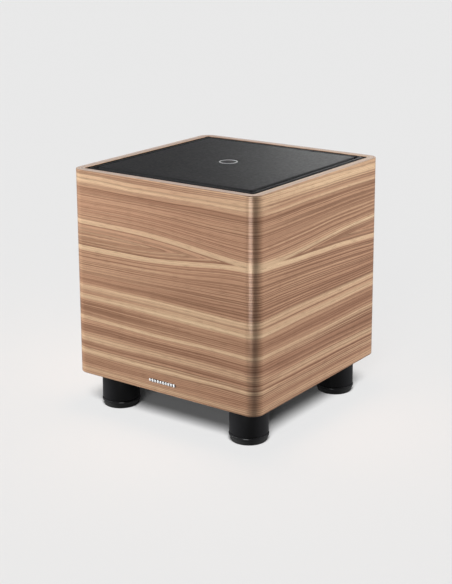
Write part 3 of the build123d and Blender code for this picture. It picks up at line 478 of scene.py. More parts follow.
def braided(colour):
    """Fine wire strands laid in two directions."""
    s = Shader()
    x, y, z = s.split(s.place())
    strands = s.times(s.sine(s.times(s.add(y, x), 5200.0)), s.sine(s.times(s.minus(y, z), 5200.0)))
    return s.finish(colour=s.mix(s.spread(strands, -1.0, 1.0), toned(colour, 0.5), colour), metallic=1.0,
                    roughness=s.spread(strands, -1.0, 1.0, 0.45, 0.3), normal=s.bump(strands, 0.5, 0.1))


MATERIALS = {
    "walnut": walnut(),
    "fibreboard": board(),
    "black_board": board(painted_all_over=True),
    "beech": long_grain((0.52, 0.34, 0.18), (0.40, 0.24, 0.12)),
    "leather": leather(LEATHER),
    "leather_border": leather(toned(LEATHER, 0.8)),
    "badge_chrome": speckled((0.84, 0.84, 0.85), 0.36, metallic=0.3, strength=0.1),
    "emblem_metal": speckled((0.78, 0.78, 0.80), 0.32, metallic=0.45, strength=0.1),
    "foot_black": speckled((0.008, 0.008, 0.009), 0.36, 1500.0, strength=0.1, specular=0.3),
    "ring_gloss": speckled((0.010, 0.010, 0.011), 0.22, 400.0, strength=0.03, coat=0.4, coat_roughness=0.12),
    "foot_rubber": speckled((0.012, 0.012, 0.012), 0.6),
    "zinc_steel": brushed((0.58, 0.58, 0.55), 0.35),
    "black_steel": speckled((0.03, 0.03, 0.031), 0.38, 1200.0, metallic=0.7),
    "brass": brushed((0.72, 0.52, 0.22), 0.3),
    "cast_frame": speckled((0.022, 0.022, 0.024), 0.52, 1100.0, metallic=0.2, strength=0.5, depth=0.1),
    "magnet_steel": brushed((0.36, 0.36, 0.35), 0.38),
    "ferrite": speckled((0.05, 0.05, 0.055), 0.7, 700.0, strength=0.5, depth=0.1),
    "cone_black": pulp((0.022, 0.022, 0.024)),
    "cap_black": fibres((0.02, 0.02, 0.022), 0.5, 420.0),
    "surround_rubber": speckled((0.012, 0.012, 0.013), 0.48, 1300.0, strength=0.12),
    "trim_rubber": speckled((0.018, 0.018, 0.018), 0.7, 1000.0),
    "foam": speckled((0.03, 0.03, 0.03), 0.9, 1600.0, strength=0.8, depth=0.2),
    "former_metal": brushed((0.75, 0.75, 0.77), 0.3),
    "copper": windings((0.72, 0.30, 0.14), 0.25, 0.4 * MM),
    "spider_cloth": cloth((0.62, 0.42, 0.14)),
    "tinsel": braided((0.78, 0.74, 0.68)),
    "wadding": fibres((0.78, 0.78, 0.76), 0.9, 90.0, 0.12, 1.0),
    "plate_black": rear_plate(),
    "heatsink_alu": brushed((0.56, 0.57, 0.58), 0.4),
    "knob_black": knob_plastic(),
    "abs_black": speckled((0.024, 0.024, 0.025), 0.46, 1600.0),
    "gloss_black": speckled((0.014, 0.014, 0.014), 0.18, 500.0, strength=0.05),
    "phono_nickel": brushed((0.78, 0.74, 0.66), 0.22, "y"),
    "pin_metal": brushed((0.74, 0.70, 0.62), 0.25, "y"),
    "shaft_metal": brushed((0.70, 0.70, 0.72), 0.3, "y"),
    "led_lens": speckled((0.25, 0.55, 0.85), 0.12, 500.0, strength=0.05, transmission=0.6),
    "fuse_ceramic": speckled((0.80, 0.78, 0.72), 0.25, 600.0, strength=0.05),
    "transformer_wrap": windings((0.30, 0.20, 0.05), 0.3, 3.0 * MM),
    "board_green": circuit(),
    "can_sleeve": speckled((0.03, 0.04, 0.09), 0.3, 500.0, strength=0.05),
    "wire_black": speckled((0.02, 0.02, 0.02), 0.5, 800.0),
    "phono_insulator": phono_insulator(),
}
for slot_name, material in MATERIALS.items():
    material.name = slot_name


# ---- building meshes ----
def placed(name, data):
    """A new object in the scene."""
    made = bpy.data.objects.new(name, data)
    bpy.context.collection.objects.link(made)
    return made


def shown(name, mesh, slot, *replaced, body="cabinet"):
    """A finished piece that rides on a body and stands for CAD nodes."""
    piece = placed(name, mesh)
    mesh.materials.append(MATERIALS[slot])
    if body:
        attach(piece, body)
    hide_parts(*replaced)
    return piece


def mesh_from(bm, name, crisp=None):
    """The finished mesh, with normals outwards and edges sharper than crisp degrees left unsmoothed."""
    bmesh.ops.recalc_face_normals(bm, faces=bm.faces)
    mesh = bpy.data.meshes.new(name)
    bm.to_mesh(mesh)
    bm.free()
    mesh.shade_smooth()
    if crisp:
        mesh.set_sharp_from_angle(angle=radians(crisp))
    return mesh


def bridge(bm, rows, closed=True):
    """Faces between each row of points and the next. A closed row's last point joins its first."""
    for low, high in zip(rows, rows[1:]):
        for i in range(len(low) if closed else len(low) - 1):
            n = (i + 1) % len(low)
            bm.faces.new((low[i], low[n], high[n], high[i]))


def border_of(grid):
    """The points round the edge of a grid."""
    return grid[0][:-1] + [row[-1] for row in grid[:-1]] + grid[-1][:0:-1] + [row[0] for row in grid[:0:-1]]


def rounded_loop(inset, radius=None, steps=14):
    """Points round the cabinet's plan, inset from its faces: (x, y, way round from the front right corner).
    They run anticlockwise from the middle of the rear face, which comes both first and last."""
    corner = CORNER - inset if radius is None else radius
    a, b = WIDTH / 2 - inset - corner, DEPTH / 2 - inset - corner
    guard = 0.6 * MM            # flat strip next to each corner, which keeps its shading off the faces
    across, deep, quarter = WIDTH - 2 * CORNER, DEPTH - 2 * CORNER, CORNER * pi / 2
    starts = (-across - deep - 2.5 * quarter, -across - 1.5 * quarter, -quarter / 2, quarter / 2 + deep)
    points = [(0.0, b + corner, starts[0] - across / 2)]
    for index, (sx, sy) in enumerate(((-1, 1), (-1, -1), (1, -1), (1, 1))):
        for step in range(-1, steps + 2):
            on_arc = min(max(step, 0), steps)
            angle = (index + 1 + on_arc / steps) * pi / 2
            off = guard * (step - on_arc)
            points.append((sx * a + corner * cos(angle) - off * sin(angle),
                           sy * b + corner * sin(angle) + off * cos(angle),
                           starts[index] + quarter * on_arc / steps + off))
    points.append((0.0, b + corner, starts[3] + quarter + across / 2))
    return [(CENTRE_X + x, CENTRE_Y + y, u) for x, y, u in points]


def rounded_rectangle(half_width, half_height, radius, centre, steps):
    """Points (x, z) round an upright rectangle with round corners, anticlockwise."""
    points = []
    for index, (sx, sz) in enumerate(((1, 1), (-1, 1), (-1, -1), (1, -1))):
        for step in range(steps + 1):
            angle = radians(90 * index + 90 * step / steps)
            points.append((centre[0] + sx * (half_width - radius) + radius * cos(angle),
                           centre[1] + sz * (half_height - radius) + radius * sin(angle)))
    return points


def cabinet_skin():
    """The veneer: four sides, top edge and rim, as one closed thin shell with the amplifier's opening."""
    bm = bmesh.new()
    grain = bm.loops.layers.uv.new("grain")
    edge, inner_edge, guard = 0.8 * MM, 0.3 * MM, 0.5 * MM

    def add_face(corners, sheet):
        """A face, and where its corners lie on the veneer sheet."""
        for loop, uv in zip(bm.faces.new(corners).loops, sheet):
            loop[grain].uv = uv

    # the section through a wall, as (inset, height, height on the sheet), up the outside and down the inside
    section = [(VENEER, BASE_Z, 0.0), (edge * 0.08, BASE_Z + edge * 0.92, 0.9 * MM),
               (0.0, BASE_Z + edge + guard, 1.4 * MM), (0.0, RIM_Z - edge - guard, HEIGHT - edge - guard)]
    for step in range(6):
        angle = pi / 2 * step / 5
        section.append((edge * (1 - cos(angle)), RIM_Z - edge + edge * sin(angle),
                        HEIGHT - edge + edge * angle))
    section += [(edge + guard, RIM_Z, HEIGHT + edge),
                (RIM - inner_edge - guard, RIM_Z, HEIGHT + RIM - 1.5 * edge)]
    for step in range(4):
        angle = pi / 2 * step / 3
        section.append((RIM - inner_edge + inner_edge * sin(angle),
                        RIM_Z - inner_edge + inner_edge * cos(angle),
                        HEIGHT + RIM - inner_edge + inner_edge * angle))
    section += [(RIM, RIM_Z - VENEER, HEIGHT + RIM + edge), (VENEER, RIM_Z - VENEER, HEIGHT + RIM)]
    rows = []
    for inset, z, sheet in section:
        loop = rounded_loop(inset)
        verts = [bm.verts.new((x, y, z)) for x, y, _ in loop[:-1]]
        rows.append((verts + verts[:1], [u for _, _, u in loop], sheet))
    rows.append((rows[0][0], rows[0][1], HEIGHT))
    last = len(rows[0][0]) - 2
    side_row, inner_row = 2, len(section) - 1
    for row, (low, high) in enumerate(zip(rows, rows[1:])):
        for i in range(last + 1):
            if row in (side_row, inner_row) and i in (0, last):
                continue        # the rear face, made below
            n = i + 1
            add_face((low[0][i], low[0][n], high[0][n], high[0][i]),
                     ((low[1][i], low[2]), (low[1][n], low[2]), (high[1][n], high[2]), (high[1][i], high[2])))
    # the rear face, in two halves that meet at the sheet's joint, with the opening cut out
    gap = 0.3 * MM
    half_w, half_h = (plate_high.x - plate_low.x) / 2 + gap, (plate_high.z - plate_low.z) / 2 + gap
    middle = ((plate_low.x + plate_high.x) / 2, (plate_low.z + plate_high.z) / 2)
    hole = rounded_rectangle(half_w, half_h, 6 * MM, middle, 6)
    quarter = len(hole) // 4
    chains = []
    for row, y in ((side_row, REAR_Y), (inner_row, REAR_Y - VENEER)):
        made = [bm.verts.new((x, y, z)) for x, z in hole]
        top, bottom = (bm.verts.new((CENTRE_X, y, middle[1] + side * half_h)) for side in (1, -1))
        halves = ((last, [bottom] + made[3 * quarter:] + made[:quarter] + [top]),
                  (0, [bottom] + made[3 * quarter - 1:quarter - 1:-1] + [top]))
        chains.append([chain for _, chain in halves])
        for i, chain in halves:
            low, high = rows[row], rows[row + 1]
            joint, corner, sense = (i + 1, i, 1) if i == last else (i, i + 1, -1)
            low_corner, high_corner = low[0][corner], high[0][corner]
            outlines = [(low_corner, low[0][joint], chain[0], chain[1])]
            outlines += [(low_corner, chain[k], chain[k + 1]) for k in range(1, quarter)]
            outlines.append((low_corner, chain[quarter], chain[quarter + 1], high_corner))
            outlines += [(high_corner, chain[k], chain[k + 1]) for k in range(quarter + 1, 2 * quarter)]
            outlines.append((high_corner, chain[2 * quarter], chain[2 * quarter + 1], high[0][joint]))
            for outline in outlines:
                add_face(outline, [(low[1][corner] + sense * abs(v.co.x - low_corner.co.x), v.co.z - BASE_Z)
                                   for v in outline])
    for front, behind in zip(*chains):
        for i in range(len(front) - 1):
            corners = (front[i], behind[i], behind[i + 1], front[i + 1])
            add_face(corners, [(v.co.x, v.co.z - BASE_Z) for v in corners])
    shown("cabinet_skin", mesh_from(bm, "cabinet_skin", 38), "walnut", "walnut_veneer")


# ---- turned pieces: outlines are (radius, height above the floor) in millimetres ----
def arc(centre_r, centre_z, radius, start, end, steps=8):
    """Points of an arc, its angles in degrees from outwards towards up."""
    angles = [radians(start + (end - start) * i / steps) for i in range(steps + 1)]
    return [(centre_r + radius * cos(a), centre_z + radius * sin(a)) for a in angles]


def turn(bm, outline, centre, segments):
    """Turns a closed outline about a vertical axis."""
    rings = []
    for r, z in outline:
        count = 1 if r < 1e-6 else segments
        angles = [2 * pi * i / segments for i in range(count)]
        rings.append([bm.verts.new((centre[0] + r * MM * cos(a), centre[1] + r * MM * sin(a), z * MM))
                      for a in angles])
    for low, high in zip(rings, rings[1:] + rings[:1]):
        if len(low) == 1 and len(high) == 1:
            continue
        for k in range(segments):
            n = (k + 1) % segments
            corners = (low[k % len(low)], low[n % len(low)], high[n % len(high)], high[k % len(high)])
            bm.faces.new(list(dict.fromkeys(corners)))


def turned(name, slot, outline, *replaced, centres=None, segments=96, body="cabinet"):
    bm = bmesh.new()
    for centre in centres or [(CENTRE_X, CENTRE_Y)]:
        turn(bm, outline, centre, segments)
    return shown(name, mesh_from(bm, name, 35), slot, *replaced, body=body)


# ---- feet ----
PAD_RADIUS, COLUMN_RADIUS, SPIGOT, BORE, COUNTERBORE = 26.0, 27.6, 24.0, 4.2, 10.0
PAD_TOP, BEAD_TOP, SEAT, TOP = 6.5, 11.5, 32.0, BASE_Z / MM
pads_low, pads_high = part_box("foot_pads")
FEET = [(x, y) for x in (pads_low.x + PAD_RADIUS * MM, pads_high.x - PAD_RADIUS * MM)
        for y in (pads_low.y + PAD_RADIUS * MM, pads_high.y - PAD_RADIUS * MM)]


def feet():
    groove = COLUMN_RADIUS - 1.4
    column = [(BORE, SEAT), (COUNTERBORE, SEAT), (COUNTERBORE, PAD_TOP), (SPIGOT, PAD_TOP),
              (SPIGOT, BEAD_TOP), (groove, BEAD_TOP), (groove, BEAD_TOP + 1.1)]
    column += arc(COLUMN_RADIUS - 0.5, BEAD_TOP + 1.6, 0.5, -90, 0, 4)
    column += arc(COLUMN_RADIUS - 0.6, TOP - 0.6, 0.6, 0, 90, 4) + [(BORE, TOP)]
    turned("foot_columns_turned", "foot_black", column, "foot_columns", centres=FEET)
    half = (BEAD_TOP - PAD_TOP) / 2
    # the bead's edge is part of a circle through its two corners and its widest point
    corner, widest = COLUMN_RADIUS - 0.85, COLUMN_RADIUS + 0.75
    radius = (half ** 2 + (widest - corner) ** 2) / (2 * (widest - corner))
    swing = degrees(asin(half / radius))
    bead = arc(widest - radius, PAD_TOP + half, radius, -swing, swing, 14)
    bead = [(SPIGOT, PAD_TOP)] + bead + [(SPIGOT, BEAD_TOP)]
    turned("foot_beads_turned", "ring_gloss", bead, "foot_rings", centres=FEET, segments=128)
    pad = [(0, 0.5), (7, 0.5), (7.6, 0), (14, 0), (14.6, 0.6), (16.4, 0.6), (17, 0)]
    pad += arc(PAD_RADIUS - 1.8, 1.8, 1.8, -90, 0) + [(PAD_RADIUS, PAD_TOP)]
    pad += [(COUNTERBORE - 0.1, PAD_TOP), (COUNTERBORE - 0.1, PAD_TOP + 4), (0, PAD_TOP + 4)]
    turned("foot_pads_moulded", "foot_rubber", pad, "foot_pads", centres=FEET)


# ---- woofer ----
LIP_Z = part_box("woofer_surround")[1].z / MM     # top of the surround's two flat lips
SKIN = 1.2                  # thickness of the rubber and of the cone
ROLL = 8.5                  # radius of the surround's half roll
FORMER, SPIDER_END, CONE_EDGE, LIP_END = 25.85, 84.0, 94.0, 117.0       # radii, from the middle out
NECK_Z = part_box("woofer_cone")[1].z / MM
SPIDER_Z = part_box("woofer_spider")[1].z / MM
RIBS_FROM, RIBS_TO, RIB_PITCH, RIB_HEIGHT = 42.0, 87.0, 9.0, 0.45      # rings pressed into the cone


def flex(piece):
    """Puts the piece's placement into its mesh; it is not tied to the cone or the cabinet."""
    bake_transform(piece)


def woofer():
    low, roll_centre = LIP_Z - SKIN, CONE_EDGE + ROLL
    outer_roll = arc(roll_centre, low, ROLL, 180, 360, 24)
    inner_roll = arc(roll_centre, low, ROLL - SKIN, 360, 180, 24)
    outline = [(CONE_EDGE - 6, low)] + outer_roll + [(LIP_END, low), (LIP_END, LIP_Z)]
    outline += [(roll_centre + ROLL - SKIN, LIP_Z)] + inner_roll
    outline += [(CONE_EDGE + SKIN, LIP_Z), (CONE_EDGE - 6, LIP_Z)]
    surround = turned("surround_roll", "surround_rubber", outline, "woofer_surround", segments=160, body=None)
    flex(surround)

    # the cone's front and back lines, with shallow pressed ribs outside the dust cap
    front_in, front_out = (FORMER, NECK_Z - 1.5), (CONE_EDGE - 5.8, LIP_Z)
    back_in, back_out = (FORMER + 1.1, NECK_Z), (CONE_EDGE - 5, LIP_Z + SKIN)

    def line(start, end, steps=84):
        points = []
        for i in range(steps + 1):
            r, z = (a + (b - a) * i / steps for a, b in zip(start, end))
            if RIBS_FROM < r < RIBS_TO:
                z += RIB_HEIGHT * max(0.0, sin(2 * pi * (r - RIBS_FROM) / RIB_PITCH))
            points.append((r, z))
        return points

    outline = [(CONE_EDGE, LIP_Z), (CONE_EDGE, LIP_Z + SKIN)] + line(back_in, back_out)[::-1]
    outline += line(front_in, front_out)
    turned("cone_ribbed", "cone_black", outline, "woofer_cone", segments=144, body="cone")

    cap_low, cap_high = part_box("woofer_dust_cap")
    apex, rim = cap_low.z / MM, cap_high.z / MM
    cap_radius = (cap_high.x - cap_low.x) / 2 / MM
    rise = rim - apex
    ball = (cap_radius ** 2 + rise ** 2) / (2 * rise)
    swing = degrees(asin(cap_radius / ball))
    inside = degrees(asin((cap_radius - 0.8) / (ball - 0.9)))
    outline = arc(0, apex + ball, ball, -90, -90 + swing, 28)
    outline += arc(0, apex + ball, ball - 0.9, -90 + inside, -90, 28)
    outline[0], outline[-1] = (0.0, outline[0][1]), (0.0, outline[-1][1])
    turned("dust_cap_pressed", "cap_black", outline, "woofer_dust_cap", segments=128, body="cone")

    folds, flat, cloth_thickness, height = 5, 77.0, 0.7, 2.0
    start, middle = FORMER + 3, SPIDER_Z - height
    pitch = (flat - FORMER - 4) / folds
    upper = [(FORMER, middle), (start, middle)]
    steps = 12 * folds
    for i in range(1, steps + 1):
        r = start + folds * pitch * i / steps
        upper.append((r, middle + height * sin(2 * pi * (r - start) / pitch)))
    upper += [(flat, middle + height * 0.8), (flat + 1, SPIDER_Z), (SPIDER_END, SPIDER_Z)]
    outline = upper + [(r, z - cloth_thickness) for r, z in reversed(upper)]
    spider = turned("spider_cloth", "spider_cloth", outline, "woofer_spider", segments=144, body=None)
    flex(spider)


# ---- wires: the routes' points are part.py's, in metres ----
def along_route(route):
    """A smooth curve through the air with the route's points as its control points."""
    curve = bpy.data.curves.new("route", "CURVE")
    curve.dimensions = "3D"
    spline = curve.splines.new("NURBS")
    spline.points.add(len(route) - 1)
    for point, place in zip(spline.points, route):
        point.co = (*place, 1.0)
    spline.order_u = 3
    spline.use_endpoint_u = True
    spline.resolution_u = 12
    return curve


def wire(name, slot, route, radius, node, body="cabinet"):
    curve = along_route(route)
    bare = bpy.data.objects.new("bare", curve)
    line = bpy.data.meshes.new_from_object(bare)
    path = [tuple(vertex.co) for vertex in line.vertices]
    bpy.data.meshes.remove(line)
    curve.bevel_depth = radius
    curve.bevel_resolution = 4
    curve.use_fill_caps = True
    mesh = bpy.data.meshes.new_from_object(bare)
    bpy.data.objects.remove(bare)
    bpy.data.curves.remove(curve)
    mesh.name = name
    mesh.shade_smooth()
    mesh.materials.clear()
    piece = shown(name, mesh, slot, node, body=body)
    length = sum((Vector(b) - Vector(a)).length for a, b in zip(path, path[1:]))
    return piece, path, length


def wires():
    terminal_z = BASE_Z + 46 * MM
    block_low, block_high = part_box("woofer_terminals")
    lug_y = block_high.y
    board_low, board_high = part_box("circuit_board")
    solder_z = board_low.z + 8 * MM
    for side, name, x in ((-1, "left", 12 * MM), (1, "right", 20 * MM)):
        lead_x = side * 7 * MM
        route = [(lead_x, lug_y + 0.2 * MM, terminal_z + 3 * MM),
                 (lead_x, lug_y + 12 * MM, terminal_z + 4 * MM),
                 (x, lug_y + 18 * MM, terminal_z + 34 * MM), (x, lug_y + 18 * MM, solder_z),
                 (x, board_low.y, solder_z)]
        piece, path, length = wire("speaker_wire_" + name, "wire_black", route, 1.3 * MM, "speaker_wires")
        cone_y = CENTRE_Y + 48 * MM
        route = [(lead_x, block_high.y - 1 * MM, terminal_z),
                 (lead_x, CENTRE_Y + 66 * MM, terminal_z - 1 * MM),
                 (lead_x, cone_y, BASE_Z + 33.6 * MM)]
        piece, path, length = wire("tinsel_lead_" + name, "tinsel", route, 0.9 * MM, "tinsel_leads",
                                   body=None)
        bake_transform(piece)


# ---- padded top ----
PAD_INSET = 26.5 * MM
PAD_CORNER = 5.0 * MM
PAD_ROLL = 2.5 * MM
BACKING = 1.2 * MM          # the leather turns this far under the panel's backing board
EMBLEM_R = 18.0 * MM
PAD_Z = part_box("top_leather")[1].z
BACKING_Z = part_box("top_backing")[1].z


def smooth(value, low, high):
    t = min(1.0, max(0.0, (value - low) / (high - low)))
    return t * t * (3 - 2 * t)


def pad_steps(half):
    """Distances from the middle to the edge: fine over the emblem and the rolled edge."""
    near = [i * 1.0 * MM for i in range(21)]
    plain = half - PAD_CORNER - near[-1]
    count = round(plain / (3.2 * MM))
    near += [near[-1] + plain * (i + 1) / count for i in range(count)]
    roll = [half - d * MM for d in (3.9, 3.1, 2.5, 1.9, 1.35, 0.85, 0.45, 0.15, 0.0)]
    steps = near + roll
    return [-s for s in reversed(steps[1:])] + steps


def pad_height(x, y, inside):
    """Height of the leather at a point of the panel that is this far in from its edge."""
    r = hypot(x, y)
    drop = 0.0
    if inside < PAD_ROLL:
        drop = PAD_ROLL - sqrt(max(0.0, PAD_ROLL ** 2 - (PAD_ROLL - inside) ** 2))
    drop += 0.40 * MM * exp(-inside / (9 * MM)) * smooth(r, 20 * MM, 60 * MM)
    wave = noise.noise(Vector((x * 17.0, y * 17.0, 2.0))) * 0.16 * MM
    wave += noise.noise(Vector((x * 60.0, y * 60.0, 7.0))) * 0.04 * MM
    drop += (0.12 * MM + wave) * smooth(r, 20 * MM, 45 * MM) * smooth(inside, 0.0, 6 * MM)
    pressed = 1 - smooth(r, EMBLEM_R - 0.9 * MM, EMBLEM_R + 0.5 * MM)
    pillow = 0.28 * MM * (1 - smooth(r, 3.0 * MM, 8.5 * MM))
    return PAD_Z - drop - pressed * 0.5 * MM + pillow * pressed


def settled(x, y, half_x, half_y):
    """Moves a grid point of a square corner on to the round one, and says how far in from the edge it is."""
    corner_x, corner_y = half_x - PAD_CORNER, half_y - PAD_CORNER
    over_x, over_y = abs(x) - corner_x, abs(y) - corner_y
    if over_x > 0 and over_y > 0:
        s, t = over_x / PAD_CORNER, over_y / PAD_CORNER
        dx = PAD_CORNER * s * sqrt(1 - t * t / 2)
        dy = PAD_CORNER * t * sqrt(1 - s * s / 2)
        x, y = copysign(corner_x + dx, x), copysign(corner_y + dy, y)
        return x, y, max(0.0, PAD_CORNER - hypot(dx, dy))
    return x, y, min(half_x - abs(x), half_y - abs(y))


def padded_panel():
    """The top's leather: padded face, rolled edge and the part turned in under its backing board."""
    half_x, half_y = WIDTH / 2 - PAD_INSET, DEPTH / 2 - PAD_INSET
    bm = bmesh.new()
    grid = []
    for grid_y in pad_steps(half_y):
        row = []
        for grid_x in pad_steps(half_x):
            x, y, inside = settled(grid_x, grid_y, half_x, half_y)
            row.append(bm.verts.new((CENTRE_X + x, CENTRE_Y + y, pad_height(x, y, inside))))
        grid.append(row)
    bridge(bm, grid, closed=False)
    rings = [border_of(grid)]
    for inward, z in ((0.0, RECESS_Z + 0.6 * MM), (0.35 * MM, RECESS_Z),
                      (BACKING, RECESS_Z), (BACKING, BACKING_Z)):
        narrow, short = (half_x - inward) / half_x, (half_y - inward) / half_y
        rings.append([bm.verts.new((CENTRE_X + (v.co.x - CENTRE_X) * narrow,
                                    CENTRE_Y + (v.co.y - CENTRE_Y) * short, z)) for v in rings[0]])
    bridge(bm, rings)
    bm.faces.new(rings[-1])
    shown("padded_top", mesh_from(bm, "padded_top", 50), "leather", "top_leather")


def padded_border():
    """Strip of padded leather between the wood rim and the panel."""
    outset, inset_end, top = 17.5 * MM, 23.0 * MM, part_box("top_border")[1].z
    roll, crown, toe, steps = 1.6 * MM, 0.15 * MM, 0.3 * MM, 6
    section = [(outset + toe, RECESS_Z), (outset, RECESS_Z + toe)]
    turns = [pi / 2 * i / steps for i in range(steps + 1)]
    heights = [top - roll + roll * sin(a) - crown * cos(a) for a in turns]
    section += [(outset + roll * (1 - cos(a)), z) for a, z in zip(turns, heights)]
    section.append(((outset + inset_end) / 2, top + 0.12 * MM))
    section += [(inset_end - roll * (1 - cos(a)), z) for a, z in zip(turns[::-1], heights[::-1])]
    section += [(inset_end, RECESS_Z + toe), (inset_end - toe, RECESS_Z)]
    bm = bmesh.new()
    loops = []
    for inset, z in section:
        radius = (4.0 - 2.0 * (inset - outset) / (inset_end - outset)) * MM
        loops.append([bm.verts.new((x, y, z)) for x, y, _ in rounded_loop(inset, radius, steps=8)[:-1]])
    bridge(bm, loops + loops[:1])
    piece = shown("padded_border", mesh_from(bm, "padded_border", 50), "leather_border", "top_border")


# ---- badge: a plain bar of upright reeds ----
REEDS = 10
REED_HALF = 1.65 * MM        # half a reed's width


def rounded_bar(bm, centre, half_x, half_z, y_back, y_front, radius, chamfer, steps=5):
    """A bar against the front face with rounded ends and a bevelled front edge."""
    rings = []
    for shrink, y in ((0.0, y_back), (0.0, y_front + chamfer), (chamfer * 0.35, y_front + chamfer * 0.35),
                      (chamfer, y_front)):
        outline = rounded_rectangle(half_x - shrink, half_z - shrink, radius - shrink, centre, steps)
        rings.append([bm.verts.new((x, y, z)) for x, z in outline])
    bridge(bm, rings)
    bm.faces.new(rings[0])
    bm.faces.new(rings[-1])


def badge():
    low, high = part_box("front_badge")
    middle = ((low.x + high.x) / 2, (low.z + high.z) / 2)
    half_x, half_z = (high.x - low.x) / 2, (high.z - low.z) / 2
    plate_y = high.y - 0.45 * MM
    bm = bmesh.new()
    # the glossy black plate behind the reeds is the badge's dark inlay, and it also stands in for painted
    # shadow above the raised reeds
    rounded_bar(bm, middle, half_x, half_z, high.y, plate_y, half_z - 0.05 * MM, 0.15 * MM, 8)
    shown("badge_plate", mesh_from(bm, "badge_plate", 35), "ring_gloss", "front_badge")
    bm = bmesh.new()
    pitch = (2 * half_x - 4.4 * MM) / (REEDS - 1)
    for i in range(REEDS):
        x = middle[0] + (i - (REEDS - 1) / 2) * pitch
        tall = half_z - (0.15 if i % 2 else 0.45) * MM
        rounded_bar(bm, (x, middle[1]), REED_HALF, tall, plate_y, low.y, 0.9 * MM, 0.3 * MM)
    shown("badge_reeds", mesh_from(bm, "badge_reeds", 35), "badge_chrome", "front_badge")


# ---- wadding ----
def solid_boxes(node):
    """The box of each separate solid of a CAD node, as ((low, high) along x, along y, along z)."""
    bm = bmesh.new()
    bm.from_mesh(nodes[node].data)
    bmesh.ops.remove_doubles(bm, verts=bm.verts, dist=0.01 * MM)
    boxes, left = [], set(bm.verts)
    while left:
        island, queue = [], [left.pop()]
        while queue:
            vertex = queue.pop()
            island.append(vertex.co.copy())
            near = {edge.other_vert(vertex) for edge in vertex.link_edges} & left
            left -= near
            queue += near
        boxes.append([(min(p[k] for p in island), max(p[k] for p in island)) for k in range(3)])
    bm.free()
    return sorted(boxes)


def wadding_sheets():
    """Soft polyester sheets on the inside walls, one piece for each solid of the CAD node."""
    for index, box in enumerate(solid_boxes("wadding")):
        size = [high - low for low, high in box]
        thin = size.index(min(size))
        a, b = [k for k in range(3) if k != thin]
        bm = bmesh.new()
        count_a, count_b = (max(6, round(size[k] / (7 * MM))) for k in (a, b))
        rims = []
        for face in (-1, 1):
            grid = []
            for i in range(count_a + 1):
                row = []
                for j in range(count_b + 1):
                    s, t = i / count_a, j / count_b
                    edge = min(s, 1 - s) * size[a], min(t, 1 - t) * size[b]
                    plump = smooth(min(edge), 0.0, 16 * MM) ** 0.5
                    place = [0.0, 0.0, 0.0]
                    place[a] = box[a][0] + s * size[a]
                    place[b] = box[b][0] + t * size[b]
                    lump = noise.noise(Vector((place[a] * 45, place[b] * 45, 3.0 * index + face)))
                    thick = min(size[thin] / 2, (0.30 + 0.55 * plump + 0.22 * lump * plump) * size[thin] / 2)
                    wander = noise.noise(Vector((place[a] * 30, place[b] * 30, 50.0 + index))) * 1.5 * MM
                    if edge[0] == 0:
                        place[a] += abs(wander) * (1 if s < 0.5 else -1)
                    if edge[1] == 0:
                        place[b] += abs(wander) * (1 if t < 0.5 else -1)
                    place[thin] = sum(box[thin]) / 2 + face * thick
                    row.append(bm.verts.new(place))
                grid.append(row)
            bridge(bm, grid, closed=False)
            rims.append(border_of(grid))
        bridge(bm, rims)
        name = "wadding_sheet_%d" % (index + 1)
        shown(name, mesh_from(bm, name), "wadding", "wadding")


# ---- studio ----
# Softboxes: name, azimuth from the front towards the right side, height of the middle, distance, width,
# height, radiance as a light, radiance in reflections, pieces lit (all if empty). The floor has its own
# light.
TOP_PIECES = ("padded_top", "padded_border", "emblem_ring")
UNDER_PIECES = ("base_board", "woofer_frame", "woofer_gasket", "woofer_screws", "woofer_trim_ring",
                "surround_roll", "cone_ribbed", "dust_cap_pressed")
SOFTBOXES = (
    ("left_softbox", -52, 1.10, 3.60, 2.40, 2.60, 18.6, 6.0, ()),
    ("right_softbox", 128, 1.30, 3.60, 2.40, 2.40, 17.2, 4.0, ()),
    ("front_strip", 24, 0.17, 0.61, 0.24, 0.33, 0.0, 2.7, ()),
    ("rim_card", 209, 0.80, 1.60, 1.90, 0.40, 0.0, 0.90, ("cabinet_skin",)),
    ("leather_card", 192, 1.20, 1.60, 0.90, 0.70, 3.0, 3.0, TOP_PIECES),
    ("leather_band", 194, 0.73, 1.60, 0.95, 0.26, 0.0, 7.0, TOP_PIECES),
)
AMBIENT = 0.05
OVERHEAD = 1.2              # radiance of the panel straight above, which lights the object only
# Floor lights: name, azimuth, elevation, angular size, strength. Only the low parts stop them, so that the
# shadow lies under the object, as below a wide overhead bank.
FLOOR_LIGHTS = (
    ("floor_key", 36, 55, 28, 3.36),
    ("floor_fill", 20, 18, 30, 0.9),
)
LOW_PARTS = ("base_board", "woofer_frame", "woofer_gasket", "foot_columns_turned", "foot_beads_turned",
             "foot_pads_moulded", "surround_roll", "cone_ribbed", "dust_cap_pressed")
# Cards that make other views readable: name, place from the cabinet's middle, light, reflection.
UNDER_CARD = ("under_card", Vector((-0.25, -0.25, -1.0)), 1.6, 1.6)
REAR_CARD = ("rear_card", Vector((-1.1, 1.8, 0.9)), 4.0, 2.5)
CARD_SIZE, OVERHEAD_SIZE, OVERHEAD_UP = 1.2, 1.6, Vector((0, 0, 2.0))
CAMERA_LENS, CAMERA_SHIFT = 81.1, -0.154
CAMERA_YAW, CAMERA_PITCH, CAMERA_ROLL = 0.6252, 0.2349, -0.0048
CAMERA_PLACE = Vector((3.409, -4.743, 2.165))   # in cabinet widths, from the middle of its underside
FLOOR_TONE = 0.80
FLOOR_BOUNCE = 0.2
BACKDROP = srgb(234, 234, 234)


